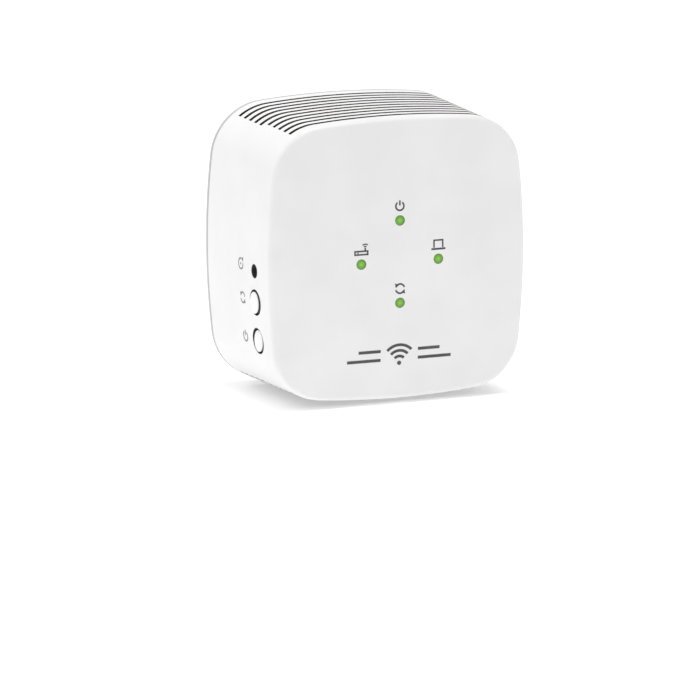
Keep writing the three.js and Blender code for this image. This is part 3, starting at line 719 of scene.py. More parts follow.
def on_rim(edge):
    """Whether an open edge belongs to the face's outer rim and not to a light hole."""
    middle = (edge.verts[0].co + edge.verts[1].co) / 2
    return math.hypot(middle.x, middle.z - CENTRE_Z) > 25


def side_stations():
    """Where the side walls have a loop: beside every slot, and at the back."""
    stations = []
    for i in range(SLOT_COUNT):
        middle = FIRST_SLOT_Y + i * SLOT_PITCH
        stations += [middle - SLOT_WIDTH / 2, middle + SLOT_WIDTH / 2]
    return stations + [HOUSING_END_Y - 1.6, HOUSING_END_Y]


def front_housing():
    """The one-piece housing: the domed face, its rounded rim and the four crowned walls."""
    bm = bmesh.new()
    loops = [face_skin(bm)]
    for vert in {v for e in loops[0] for v in e.verts}:
        vert.co.y = RIM_Y
    for step in range(1, 9):
        turn = math.radians(3 + 87 * step / 8)
        y = RIM_Y + FACE_FILLET * (1 - math.cos(turn))
        loops.append(case_loop(bm, y, FACE_FILLET * (1 - math.sin(turn)) - growth(y)))
    loops += [case_loop(bm, y, -growth(y)) for y in side_stations()]
    bridge(bm, loops)
    open_slots(bm)
    open_controls(bm)
    materials = [satin_white_abs, shaded_white_abs]
    piece = finish_piece(bm, "front_housing_shell", materials, "case", ["front_housing"])
    thicken(piece, WALL, 1)
    soften(piece, 0.12)


def open_slots(bm):
    """Opens the rows of vent slots, on top and below."""
    for i in range(SLOT_COUNT):
        y = FIRST_SLOT_Y + i * SLOT_PITCH
        reach = SLOT_HALF_LENGTH + 1.6 * growth(y)

        def in_slot(point, y=y, reach=reach):
            on_end_wall = abs(point.z - CENTRE_Z) > BOSS_Z
            return on_end_wall and abs(point.y - y) < SLOT_WIDTH / 2 and abs(point.x) < reach

        open_up(bm, in_slot)


def open_controls(bm):
    """Opens the reset hole and the two button holes in the left side."""
    for z, radius, reach in (
        (RESET_Z, RESET_HOLE_R, 2.1),
        (WPS_Z, BUTTON_HOLE_R, 4.0),
        (POWER_Z, BUTTON_HOLE_R, 4.0),
    ):

        def near(point, z=z, reach=reach):
            return point.x < -BOSS_X and abs(point.y - CONTROL_Y) < reach and abs(point.z - z) < reach

        open_round(
            bm,
            near,
            (CONTROL_Y, z),
            radius,
            lambda co: (co.y, co.z),
            lambda y, up: Vector((side_x(y, up - CENTRE_Z), y, up)),
        )


def tube(bm, x, z, start_y, end_y, outer_r, inner_r, depth):
    """A moulded boss: a round post with a blind hole in its far end."""
    profile = [
        (0, start_y),
        (outer_r + 0.4, start_y),
        (outer_r, start_y + 1.2),
        (outer_r, end_y - 0.25),
        (outer_r - 0.25, end_y),
        (inner_r + 0.2, end_y),
        (inner_r, end_y - 0.2),
        (inner_r, end_y - depth),
        (0, end_y - depth),
    ]
    turned(bm, profile, Vector((x, 0, z)), Y_AXIS, 32)


def housing_inside():
    """Screw bosses, board posts and the bars that stiffen the vents, moulded inside the housing."""
    bm = bmesh.new()
    inner_y = RIM_Y + WALL - 0.6
    for x, z in CORNERS:
        tube(bm, x, z, inner_y, -6, BOSS_R, 1.3, 12)
    for name in ("board_screw_1", "board_screw_2"):
        middle = node_middle(name)
        tube(bm, middle.x, middle.z, inner_y, main_front_y - 0.05, 2.5, 1.15, 7)
    vents_start = FIRST_SLOT_Y - SLOT_PITCH / 2
    vents_end = vents_start + SLOT_COUNT * SLOT_PITCH
    for side in (-1, 1):
        for x in (-14, 0, 14):
            roof = HALF_HEIGHT - WALL - x**2 / (2 * TOP_CROWN_R)
            middle = CENTRE_Z + side * (roof - 0.6)
            block(bm, (x - 0.6, vents_start, middle - 0.8), (x + 0.6, vents_end, middle + 0.8), 0.2)
    finish_piece(bm, "housing_bosses", satin_white_abs, "case")


def antenna_holders():
    """Two small rails on each side wall that hold an aerial board."""
    bm = bmesh.new()
    for name in ("antenna_left", "antenna_right"):
        low, high = node_box(name)
        side = 1 if low.x > 0 else -1
        wall = HALF_WIDTH - WALL
        for z in (low.z + 0.8, high.z - 2.2):
            for edge, reach in ((low.y - 0.7, 1.4), (high.y - 0.7, 1.4)):
                inner = abs(low.x + high.x) / 2 - 1
                ends = sorted((side * inner, side * wall))
                block(bm, (ends[0], edge, z), (ends[1], edge + reach, z + 1.4), 0.2)
    finish_piece(bm, "antenna_rails", satin_white_abs, "case")


# ---- rear cover and plug ----


def rear_cover():
    """The cover: a dished plate with a lip inside the housing, open for the plug and the screws."""
    bm = bmesh.new()
    lip_inset = WALL + 0.35 - growth(PARTING_Y)
    loops = [
        case_loop(bm, COVER_INNER_Y, lip_inset + LIP_THICKNESS),
        case_loop(bm, LIP_END_Y + 0.3, lip_inset + LIP_THICKNESS),
        case_loop(bm, LIP_END_Y + 0.03, lip_inset + LIP_THICKNESS - 0.3),
        case_loop(bm, LIP_END_Y, lip_inset + 0.3),
        case_loop(bm, LIP_END_Y + 0.3, lip_inset),
        case_loop(bm, PARTING_Y + 0.05, lip_inset),
        case_loop(bm, PARTING_Y, 0.15 - growth(PARTING_Y)),
        case_loop(bm, PARTING_Y + 0.12, -growth(PARTING_Y)),
    ]
    for step in range(7):
        turn = math.radians(80) * step / 6
        y = REAR_Y - COVER_FILLET * (1 - math.sin(turn))
        loops.append(case_loop(bm, y, COVER_FILLET * (1 - math.cos(turn)) - growth(REAR_Y)))
    loops.append(case_loop(bm, REAR_Y, COVER_FILLET + 0.5 - growth(REAR_Y)))
    bridge(bm, loops)
    inside, outside = [loops[0]], [loops[-1]]
    for centre in CORNERS:
        socket = screw_socket(bm, centre)
        inside.append(socket[0])
        outside.append(socket[-1])
    sizes = (size + PLUG_FIT for size in (PLUG_HALF_X, PLUG_HALF_Z, PLUG_CORNER_R))
    plug = rounded_rectangle(*sizes, steps=10)
    through = [loop(bm, [(x, y, z) for x, z in plug]) for y in (COVER_INNER_Y, REAR_Y)]
    bridge(bm, through)
    inside.append(through[0])
    outside.append(through[1])
    outside.append(label_recess(bm))
    for flat in (inside, outside):
        bmesh.ops.triangle_fill(bm, use_beauty=True, edges=[edge for ring in flat for edge in ring])
    board_rests(bm)
    # The cover's pale grey is painted shade for the back edge, not the plastic's own colour.
    piece = finish_piece(bm, "rear_cover_shell", edge_shade_grey_abs, "case", ["rear_cover"])
    soften(piece, 0.18, 2, 50)


def screw_socket(bm, centre):
    """A counterbored screw hole and the socket round it that meets the housing's boss."""
    steps = [
        (SOCKET_R, COVER_INNER_Y),
        (SOCKET_R, SOCKET_END_Y),
        (SCREW_HOLE_R, SOCKET_END_Y + 0.02),
        (SCREW_HOLE_R, SCREW_SEAT_Y - 0.02),
        (SCREW_HEAD_R + 0.3, SCREW_SEAT_Y),
        (SCREW_HEAD_R + 0.3, REAR_Y),
    ]
    loops = []
    for radius, y in steps:
        circle = arc(centre, radius, 0, 2 * math.pi, 40)[:-1]
        loops.append(loop(bm, [(x, y, z) for x, z in circle]))
    bridge(bm, loops)
    return loops


def label_recess(bm):
    """A shallow recess for the rating label; gives the loop where it meets the cover's back."""
    low, high = node_box("rating_label")
    outline = rounded_rectangle(high.x + 0.2, (high.z - low.z) / 2 + 0.2, 1.4, (low.z + high.z) / 2)
    floor, rim = [loop(bm, [(x, y, z) for x, z in outline]) for y in (REAR_Y - 0.3, REAR_Y)]
    bridge(bm, [floor, rim])
    bmesh.ops.contextual_create(bm, geom=floor)
    return rim


def board_rests(bm):
    """Four posts that the power board rests on."""
    start = power_rear_y + 0.05
    end = COVER_INNER_Y + 0.5
    for x, z in ((-23, 31.5), (23, 31.5), (-23.6, -7.2), (23.6, -7.2)):
        profile = [(0, start), (1.2, start), (1.5, start + 0.4), (1.8, end), (0, end)]
        turned(bm, profile, Vector((x, 0, z)), Y_AXIS, 24)


def rating_label():
    """A blank film label with rounded corners, and one plain printed frame line."""
    low, high = node_box("rating_label")
    middle = (low.z + high.z) / 2
    half_x, half_z = high.x, (high.z - low.z) / 2
    bm = bmesh.new()
    plate(bm, rounded_rectangle(half_x, half_z, 1.2, middle), low.y, high.y - 0.02)
    finish_piece(bm, "blank_rating_label", polyester_label, "case", ["rating_label"])
    bm = bmesh.new()
    loops = []
    for inset in (1.1, 1.35):
        outline = rounded_rectangle(half_x - inset, half_z - inset, 1.0, middle)
        loops.append(loop(bm, [(x, high.y - 0.01, z) for x, z in outline]))
    made = bmesh.ops.bridge_loops(bm, edges=loops[0] + loops[1])
    bmesh.ops.solidify(bm, geom=made["faces"], thickness=0.012)
    finish_piece(bm, "label_frame_line", light_print_ink, "case")


def case_screws():
    """Pan-head screws with a cross recess and a coarse thread for plastic."""
    for x, z in CORNERS:
        row, column = "upper" if z > CENTRE_Z else "lower", "right" if x > 0 else "left"
        name = f"case_screw_{row}_{column}"
        low, high = node_box(name)
        screw(name, Vector((x, 0, z)), high.y, high.y - 1.4, low.y, SCREW_HEAD_R, 1.1, 1)
    for name in ("board_screw_1", "board_screw_2"):
        low, high = node_box(name)
        middle = node_middle(name)
        screw(name, Vector((middle.x, 0, middle.z)), high.y, high.y - 1.2, low.y, 1.7, 0.9, 1)


def crossed_end(bm, centre, y, depth, reach, half):
    """Closes a turned shape's open end at y with a flat that has a cross sunk in it."""
    ring = [e for e in bm.edges if e.is_boundary]
    corners = [(reach, half), (half, half), (half, reach)]
    corners += [(-x, z) for x, z in reversed(corners)]
    corners += [(x, -z) for x, z in reversed(corners)]
    cross = [(centre.x + x, centre.z + z) for x, z in corners]
    rim, floor = [loop(bm, [(x, level, z) for x, z in cross]) for level in (y, y + depth)]
    bridge(bm, [rim, floor])
    bmesh.ops.contextual_create(bm, geom=floor)
    bmesh.ops.triangle_fill(bm, use_beauty=True, edges=ring + rim)


def screw(node, centre, top_y, seat_y, tip_y, head_r, shaft_r, pitch):
    """A turned screw with a rounded head, a ridged thread and a point."""
    rounding = ((0.64, 0), (0.76, 0.06), (0.88, 0.2), (0.96, 0.38), (1, 0.6))
    profile = [(head_r * share, top_y - drop) for share, drop in rounding]
    profile += [(head_r, seat_y + 0.1), (head_r - 0.1, seat_y), (shaft_r, seat_y)]
    y = seat_y - 0.6
    while y > tip_y + 1.6:
        profile += [(shaft_r * 0.72, y), (shaft_r, y - pitch * 0.4), (shaft_r * 0.72, y - pitch * 0.8)]
        y -= pitch
    profile += [(shaft_r * 0.7, tip_y + 1), (0, tip_y)]
    bm = bmesh.new()
    turned(bm, profile, centre, Y_AXIS, 32)
    crossed_end(bm, centre, top_y, -0.75, head_r * 0.55, head_r * 0.14)
    finish_piece(bm, node + "_threaded", zinc_plated_steel, BODY_OF[node], [node])


def blade_carrier():
    """The block that holds the blades: it comes through the cover, with a flange inside and two slots."""
    bm = bmesh.new()
    plate(bm, rounded_rectangle(PLUG_HALF_X, PLUG_HALF_Z, PLUG_CORNER_R, steps=12), -7.5, 0)
    flange = bmesh.new()
    wide = (size + 2 for size in (PLUG_HALF_X, PLUG_HALF_Z, PLUG_CORNER_R))
    plate(flange, rounded_rectangle(*wide, steps=12), -5, -3.5)
    bm = carved(bm, flange, "UNION")
    slots = bmesh.new()
    for x in (-BLADE_X, BLADE_X):
        half_x, half_z = BLADE_THICKNESS / 2 + 0.15, BLADE_HALF_HEIGHT + 0.16
        plate(slots, rounded_rectangle(half_x, half_z, 0.3, 0, x, 3), -9, 1)
    bm = carved(bm, slots)
    shallow = bmesh.new()
    for x in (-BLADE_X, BLADE_X):
        plate(shallow, rounded_rectangle(1.6, 4.1, 0.9, 0, x, 4), -0.35, 1)
    bm = carved(bm, shallow)
    piece = finish_piece(bm, "blade_carrier_body", pbt_white, "case", ["blade_carrier"])
    soften(piece, 0.35, 3, 50)


def blade(side, x):
    """A flat blade with a chamfered, rounded tip and its locking hole."""
    tip_r = 1.5
    tip = arc((BLADE_TIP_Y - tip_r, BLADE_HALF_HEIGHT - tip_r), tip_r, math.pi / 2, 0, 6)
    outline = [(-9, BLADE_HALF_HEIGHT), *tip]
    outline += [(y, -z) for y, z in reversed(outline)]
    bm = bmesh.new()
    near_x = x - BLADE_THICKNESS / 2
    drawn_out(bm, [(near_x, y, z) for y, z in outline], (BLADE_THICKNESS, 0, 0))
    hole = bmesh.new()
    drill = [(0, -3), (BLADE_HOLE_R, -3), (BLADE_HOLE_R, 3), (0, 3)]
    turned(hole, drill, Vector((x, BLADE_HOLE_Y, 0)), X_AXIS, 40)
    name = f"blade_{side}"
    bm = carved(bm, hole)
    piece = finish_piece(bm, name + "_plated", nickel_plated_brass, "case", [name])
    soften(piece, 0.3, 3, 40)


def contact_strips():
    """Brass strips from the blades to the power board, each with a soldered foot."""
    for side in ("left", "right"):
        name = f"contact_strip_{side}"
        low, high = node_box(name)

        def foot(bm, low=low, high=high):
            block(bm, (low.x - 0.9, low.y, low.z + 0.8), (high.x + 0.9, low.y + 0.4, high.z - 0.8), 0.1)

        softened_node(name, rolled_brass, 0.1, foot)


# ---- buttons ----


def push_button(node, z, proud, crown):
    """A round cap with a crowned top on a dark skirt, a flange that stops it inside, and its stem."""
    stem_end_x = node_box(node)[1].x
    wall_x = side_x(CONTROL_Y, z - CENTRE_Z)
    centre = Vector((0, CONTROL_Y, z))
    edge_x = wall_x - proud
    top_x = edge_x - crown
    profile = [(0, top_x)]
    for step in range(1, 8):
        share = step / 8
        profile.append(((BUTTON_R - 0.35) * share, top_x + crown * share**2))
    rounding = ((0.12, 0.02), (0.03, 0.06), (0, 0.14))
    profile += [(BUTTON_R - inset, edge_x + depth) for inset, depth in rounding]
    cap_end = edge_x + 0.2
    bm = bmesh.new()
    turned(bm, profile + [(BUTTON_R, cap_end), (0, cap_end)], centre, X_AXIS, 64)
    finish_piece(bm, node + "_cap", polished_white_abs, BODY_OF[node], [node])
    flange_x = wall_x + 2.55
    skirt = [
        (0, cap_end),
        (BUTTON_R - 0.03, cap_end),
        (BUTTON_R - 0.03, flange_x),
        (BUTTON_FLANGE_R, flange_x + 0.1),
        (BUTTON_FLANGE_R, flange_x + 0.8),
        (BUTTON_STEM_R, flange_x + 0.9),
        (BUTTON_STEM_R, stem_end_x - 0.2),
        (BUTTON_STEM_R - 0.2, stem_end_x),
        (0, stem_end_x),
    ]
    bm = bmesh.new()
    turned(bm, skirt, centre, X_AXIS, 48)
    # The skirt's dark grey is painted shade in the gap round the cap.
    finish_piece(bm, node + "_skirt", gap_shade_silicone, BODY_OF[node])


def switches():
    """Side-acting switches: black bodies with tinned feet, and round plungers."""
    for name in ("wps_switch", "power_switch", "reset_switch"):
        body_low, body_high = node_box(name + "_body")
        softened_node(name + "_body", black_nylon, 0.2)
        low, high = node_box(name + "_plunger")
        radius = (high.z - low.z) / 2
        profile = [(0, low.x), (radius - 0.3, low.x), (radius, low.x + 0.3)]
        profile += [(radius, high.x - 0.1), (0, high.x)]
        bm = bmesh.new()
        centre = Vector((0, (low.y + high.y) / 2, (low.z + high.z) / 2))
        turned(bm, profile, centre, X_AXIS, 32)
        plunger = name + "_plunger"
        finish_piece(bm, plunger + "_tip", black_nylon, BODY_OF[plunger], [plunger])
        bm = bmesh.new()
        for z in (body_low.z - 0.15, body_high.z + 0.15):
            for x in (body_low.x + 0.9, body_high.x - 1.5):
                block(bm, (x, body_high.y - 2.4, z - 0.15), (x + 0.7, body_high.y, z + 0.15), 0.05)
        finish_piece(bm, name + "_feet", solder_tin, "case")


# ---- indicators ----


def light_guide():
    """Four clear light pipes joined by a ring, each with a slightly domed lit tip."""
    bm = bmesh.new()
    glow = bm.verts.layers.float.new("glow")
    back_y = node_box("light_guide")[1].y
    for x, z in LED_POINTS.values():
        tip_y = face_y(x, z - CENTRE_Z) + 0.02
        before = set(bm.faces)
        profile = [(0, tip_y - 0.02)]
        profile += [(LED_LENS_R * s, tip_y + 0.1 * s**2) for s in (0.2, 0.4, 0.6, 0.8, 0.95, 1.0)]
        profile += [(LED_LENS_R, tip_y + 0.5), (LED_LENS_R, back_y - 0.1)]
        profile += [(LED_LENS_R - 0.1, back_y), (0, back_y)]
        turned(bm, profile, Vector((x, 0, z)), Y_AXIS, 40)
        for face in set(bm.faces) - before:
            face.material_index = 1 if face.calc_center_median().y < tip_y + 0.4 else 0
        for vert in bm.verts:
            away = math.hypot(vert.co.x - x, vert.co.z - z)
            if away < LED_LENS_R * 1.05:
                vert[glow] = 1 - away / LED_LENS_R if vert.co.y < tip_y + 0.2 else 0
    inner, outer = LED_RING_R - 0.9, LED_RING_R + 0.9
    ring = [(inner, -36.6), (outer, -36.6), (outer, -35.4), (inner, -35.4), (inner, -36.6)]
    turned(bm, ring, Vector((0, 0, LED_Z)), Y_AXIS, 64)
    materials = [light_pipe, lit_lens]
    finish_piece(bm, "light_guide_pipes", materials, "case", ["light_guide"])


def status_lamps():
    """A small epoxy lamp under each light pipe, with a soldered pad at each end."""
    for side in LED_POINTS:
        low, high = node_box(f"status_led_{side}")

        def pads(bm, low=low, high=high):
            for end in (low.x, high.x):
                block(bm, (end - 0.2, high.y - 0.3, low.z + 0.1), (end + 0.2, high.y, high.z - 0.1))

        softened_node(f"status_led_{side}", lamp_epoxy, 0.12, pads)


# ---- circuit boards and what is on them ----


def use_material(node, material):
    """Gives a node that keeps its own shape a better finish."""
    mesh = frame["nodes"][node].data
    mesh.materials.clear()
    mesh.materials.append(material)


def gull_legs(bm, low, high, board_y, count, along, width=0.3):
    """Two rows of bent legs under a chip: along is the axis that the rows run along."""
    across = X_AXIS if along == Z_AXIS else Z_AXIS
    middle = (low + high) / 2
    length = (high - low).dot(along)
    half = (high - low).dot(across) / 2
    rise = board_y - (low.y + high.y) / 2
    for side in (-1, 1):
        for i in range(count):
            start = middle + along * length * ((i + 0.5) / count - 0.5) + across * side * (half - 0.1)
            out = across * side
            bends = ((0, 0), (0.35, 0), (0.55, 0.85), (0.95, 0.9))
            path = [start + out * reach + Y_AXIS * rise * drop for reach, drop in bends]
            strap(bm, path, along * width, 0.12)


def main_board_chips():
    """Epoxy chips with bent legs or a frame of solder pads."""
    pad = 0.13
    for name in ("processor", "radio_chip", "memory_chip", "flash_chip"):
        low, high = node_box(name)
        softened_node(name, chip_epoxy, 0.12)
    bm = bmesh.new()
    for name, count, along in (("memory_chip", 13, X_AXIS), ("flash_chip", 4, Z_AXIS)):
        low, high = node_box(name)
        gull_legs(bm, low, high, main_front_y, count, along)
    finish_piece(bm, "memory_legs", solder_tin, "case")
    bm = bmesh.new()
    for name in ("processor", "radio_chip"):
        low, high = node_box(name)
        for i in range(12):
            share = (i + 0.5) / 12
            x, z = low.x + (high.x - low.x) * share, low.z + (high.z - low.z) * share
            rows = ((x, low.z - 0.12), (x, high.z + 0.12), (low.x - 0.12, z), (high.x + 0.12, z))
            for pad_x, pad_z in rows:
                front = Vector((pad_x - pad, main_front_y - 0.1, pad_z - pad))
                rear = Vector((pad_x + pad, main_front_y - 0.01, pad_z + pad))
                block(bm, front, rear)
    finish_piece(bm, "chip_solder_pads", solder_tin, "case")


def chip_parts():
    """Rows of chip resistors and capacitors: a ceramic body between two soldered ends."""
    bm = bmesh.new()
    front = main_front_y - 0.02
    places = [(-9.5 + 2.2 * i, 22.5) for i in range(4)] + [(3.5 + 2.2 * i, 22.8) for i in range(3)]
    places += [(-8.4, 2.5 + 2.1 * i) for i in range(6)] + [(8.6, 3.5 + 2.1 * i) for i in range(6)]
    places += [(14.5 + 2.1 * i, 19) for i in range(4)] + [(-20 + 2.1 * i, 30) for i in range(3)]
    places += [(-16 + 2.3 * i, -12.2) for i in range(6)] + [(15.5, 27 + 2.1 * i) for i in range(4)]
    for x, z in places:
        if all(abs(x - lx) > 2.2 or abs(z - lz) > 1.6 for lx, lz in LED_POINTS.values()):
            before = set(bm.faces)
            for end in (-0.65, 0.65):
                block(bm, (x + end - 0.22, front - 0.5, z - 0.42), (x + end + 0.22, front, z + 0.42), 0.06)
            for face in set(bm.faces) - before:
                face.material_index = 1
            block(bm, (x - 0.5, front - 0.46, z - 0.4), (x + 0.5, front, z + 0.4), 0.05)
    finish_piece(bm, "chip_resistors", [chip_ceramic, solder_tin], "case")


def radio_can():
    """A pressed tin can over the radio, with rows of small cooling holes."""
    low, high = node_box("radio_shield")
    bm = bmesh.new()
    half_x, half_z = (high.x - low.x) / 2, (high.z - low.z) / 2
    x, z = (low.x + high.x) / 2, (low.z + high.z) / 2
    plate(bm, rounded_rectangle(half_x, half_z, 0.8, z, x, 4), low.y, high.y)
    drill = [(0, low.y - 1), (0.5, low.y - 1), (0.5, low.y + 0.6), (0, low.y + 0.6)]
    hollow = bmesh.new()
    plate(hollow, rounded_rectangle(half_x - 0.4, half_z - 0.4, 0.5, z, x, 4), low.y + 0.4, high.y + 1)
    for column in range(7):
        for row in range(3):
            middle = Vector((x + 2.5 * (column - 3), 0, z + 2.5 * (row - 1)))
            turned(hollow, drill, middle, Y_AXIS, 12)
    bm = carved(bm, hollow)
    piece = finish_piece(bm, "radio_can", tinned_steel, "case", ["radio_shield"])
    soften(piece, 0.12, 2, 50)


def boards():
    """The two boards and the aerial strips in their laminates, and what sits on the main board."""
    for name in ("main_board", "antenna_left", "antenna_right"):
        use_material(name, green_laminate)
    use_material("power_board", tan_laminate)
    main_board_chips()
    chip_parts()
    radio_can()
    softened_node("thermal_pad", silicone_pad, 0.1)
    softened_node("heat_sink", anodised_aluminium, 0.15)
    softened_node("crystal", tinned_steel, 0.2)
    softened_node("insulating_sheet", polypropylene_sheet, 0.08)
    board_header()


def board_header():
    """A strip of square pins through a black spacer, which joins the two boards."""
    low, high = node_box("board_header")
    softened_node("board_header", black_nylon, 0.15)
    bm = bmesh.new()
    for row in range(2):
        for column in range(4):
            x = low.x + (high.x - low.x) * (column + 0.5) / 4
            z = low.z + (high.z - low.z) * (row + 0.5) / 2
            block(bm, (x - 0.3, low.y - 2.4, z - 0.3), (x + 0.3, low.y + 0.1, z + 0.3), 0.1)
    finish_piece(bm, "header_pins", solder_tin, "case")


def antennas():
    """Aerial strips printed on small boards, and the coaxial leads that feed them."""
    for side, sign in (("left", -1), ("right", 1)):
        low, high = node_box(f"antenna_{side}")
        bm = bmesh.new()
        inner_x = (low.x if sign > 0 else high.x) - sign * 0.03
        y = low.y + 2
        path = [Vector((inner_x, y, low.z + 1.5))]
        for i in range(4):
            up = low.z + 1.5 + (high.z - low.z - 3) * (i + 1) / 4
            far = high.y - 2 if i % 2 == 0 else low.y + 2
            path += [Vector((inner_x, far, path[-1].z)), Vector((inner_x, far, up))]
        for first, second in zip(path, path[1:]):
            along = (second - first).normalized()
            strap(bm, [first - along * 0.5, second + along * 0.5], along.cross(X_AXIS), 0.02)
        finish_piece(bm, f"antenna_{side}_track", rolled_brass, "case")
        softened_node(f"antenna_lead_{side}", fluoropolymer_jacket, 0.05)


def transformer():
    """A ferrite core, a taped winding, and a bobbin with a row of pins on each side."""
    softened_node("transformer_core", sintered_ferrite, 0.4)
    softened_node("transformer_winding", yellow_tape, 1.2)

    def pins(bm):
        low, high = node_box("transformer_bobbin")
        for x in (low.x + 1, high.x - 1):
            for i in range(5):
                z = low.z + 1.5 + (high.z - low.z - 3) * i / 4
                block(bm, (x - 0.35, low.y - 0.9, z - 0.35), (x + 0.35, low.y + 0.2, z + 0.35), 0.1)

    softened_node("transformer_bobbin", black_nylon, 0.25, pins)


def capacitor(node, sleeve_hex, stripe_hex):
    """An electrolytic can in its sleeve: crimped waist, rolled shoulder and a scored aluminium top."""
    low, high = node_box(node)
    middle = node_middle(node)
    radius = (high.x - low.x) / 2
    foot, end = high.y, low.y
    profile = [
        (0, foot),
        (radius - 0.5, foot),
        (radius, foot - 0.5),
        (radius, foot - 1.6),
        (radius - 0.35, foot - 2.0),
        (radius, foot - 2.4),
        (radius, end + 0.7),
        (radius - 0.2, end + 0.25),
        (radius - 0.7, end),
        (radius - 1.1, end + 0.1),
        (0, end + 0.1),
    ]
    centre = Vector((middle.x, 0, middle.z))
    sleeve = sleeved(node + "_sleeve_film", sleeve_hex, stripe_hex, centre, radius)
    bm = bmesh.new()
    turned(bm, profile, centre, Y_AXIS)
    finish_piece(bm, node + "_can", sleeve, "case", [node])
    bm = bmesh.new()
    top = radius - 1.2
    turned(bm, [(0, end + 0.12), (top, end + 0.12), (top, end + 0.02)], centre, Y_AXIS)
    crossed_end(bm, centre, end + 0.02, 0.06, top * 0.8, 0.12)
    finish_piece(bm, node + "_vent_top", anodised_aluminium, "case")


def two_legs(bm, centre, gap, axis):
    """Two round wire legs from a part down to the power board."""
    start, end = power_front_y - 1.6, power_front_y + 0.02
    for side in (-0.5, 0.5):
        foot = centre + axis * gap * side
        turned(bm, [(0, start), (0.3, start), (0.3, end), (0, end)], foot, Y_AXIS, 12)


def power_parts():
    """The mains supply's parts on the power board."""
    capacitor("bulk_capacitor_1", "16181d", "8f949c")
    capacitor("bulk_capacitor_2", "16181d", "8f949c")
    capacitor("output_capacitor", "1b2b4a", "c2c4c0")
    line_choke()
    fuse()
    disc_part("varistor", X_AXIS)
    softened_node("safety_capacitor", blue_resin, 0.9)
    softened_node("bridge_rectifier", chip_epoxy, 0.3)
    softened_node("optocoupler", chip_epoxy, 0.2)
    bm = bmesh.new()
    for name, count, along in (("bridge_rectifier", 2, Z_AXIS), ("optocoupler", 2, Z_AXIS)):
        low, high = node_box(name)
        gull_legs(bm, low, high, power_front_y, count, along, 0.8)
    finish_piece(bm, "power_chip_legs", solder_tin, "case")
    bm = bmesh.new()
    for name, gap in (("varistor", 5), ("safety_capacitor", 4)):
        middle = node_middle(name)
        axis = Z_AXIS if name == "varistor" else X_AXIS
        two_legs(bm, Vector((middle.x, 0, middle.z)), gap, axis)
    finish_piece(bm, "wire_legs", solder_tin, "case")


def line_choke():
    """A ferrite drum with enamelled wire wound between its flanges, turn beside turn."""
    low, high = node_box("line_choke")
    middle = node_middle("line_choke")
    radius = (high.x - low.x) / 2
    centre = Vector((middle.x, 0, middle.z))
    flange = 1.2
    waist = radius - 1.3
    drum = [(0, high.y), (radius, high.y), (radius, high.y - flange), (waist, high.y - flange)]
    drum += [(waist, low.y + flange), (radius, low.y + flange), (radius, low.y), (0, low.y)]
    bm = bmesh.new()
    turned(bm, drum, centre, Y_AXIS)
    piece = finish_piece(bm, "line_choke_drum", sintered_ferrite, "case", ["line_choke"])
    soften(piece, 0.2)
    wire = 0.5
    turns = int((high.y - low.y - 2 * flange) / wire)
    start = low.y + flange + 0.1
    end = start + wire * turns
    winding = [(waist - 0.1, start - 0.05)]
    for i in range(turns):
        for angle in (0, math.pi / 4, math.pi / 2, 3 * math.pi / 4):
            along = start + wire * (i + 0.5 - 0.5 * math.cos(angle))
            winding.append((waist + 0.55 + 0.25 * math.sin(angle), along))
    winding += [(waist + 0.55, end), (waist - 0.1, end)]
    bm = bmesh.new()
    turned(bm, winding + [winding[0]], centre, Y_AXIS)
    finish_piece(bm, "line_choke_winding", enamelled_copper, "case")


def fuse():
    """A ceramic fuse tube between two pressed metal caps."""
    low, high = node_box("fuse")
    middle = node_middle("fuse")
    radius = (high.x - low.x) / 2
    centre = Vector((middle.x, 0, middle.z))
    bm = bmesh.new()
    tube_r = radius - 0.15
    turned(bm, [(0, low.y + 1), (tube_r, low.y + 1), (tube_r, high.y - 1), (0, high.y - 1)], centre, Y_AXIS)
    finish_piece(bm, "fuse_tube", glazed_ceramic, "case", ["fuse"])
    bm = bmesh.new()
    for start, end in ((low.y, low.y + 2.2), (high.y, high.y - 2.2)):
        away = math.copysign(0.3, end - start)
        cap = [(0, start), (radius - 0.3, start), (radius, start + away), (radius, end), (0, end)]
        turned(bm, cap, centre, Y_AXIS)
    finish_piece(bm, "fuse_caps", tinned_steel, "case")


def disc_part(node, axis):
    """A dipped disc, rounded all round, as a resin coat leaves it."""
    low, high = node_box(node)
    middle = node_middle(node)
    half = (high - low).dot(axis) / 2
    radius = min(high.y - low.y, high.z - low.z) / 2
    along = middle.dot(axis)
    rounding = 1.1
    profile = [(0, along - half)]
    for step in range(11):
        angle = math.pi * step / 10
        reach = radius - rounding + rounding * math.sin(angle)
        profile.append((reach, along - half * math.cos(angle)))
    profile.append((0, along + half))
    bm = bmesh.new()
    turned(bm, profile, middle - axis * along, axis)
    finish_piece(bm, node + "_disc", blue_resin, "case", [node])


# ---- printed marks ----


def stroke(bm, start, end, width):
    """A straight printed line on the local X-Z plane, in steps short enough to follow a curved wall."""
    first, second = Vector((start[0], 0, start[1])), Vector((end[0], 0, end[1]))
    along = second - first
    across = along.cross(Y_AXIS).normalized() * width
    edge = bm.edges.new([bm.verts.new(first + across * side) for side in (-0.5, 0.5)])
    steps = max(1, math.ceil(along.length / 1.5))
    for _ in range(steps):
        made = bmesh.ops.extrude_edge_only(bm, edges=[edge])["geom"]
        moved = moved_part(made, bmesh.types.BMVert)
        bmesh.ops.translate(bm, verts=moved, vec=along / steps)
        edge = next(e for e in moved_part(made, bmesh.types.BMEdge) if set(e.verts) == set(moved))


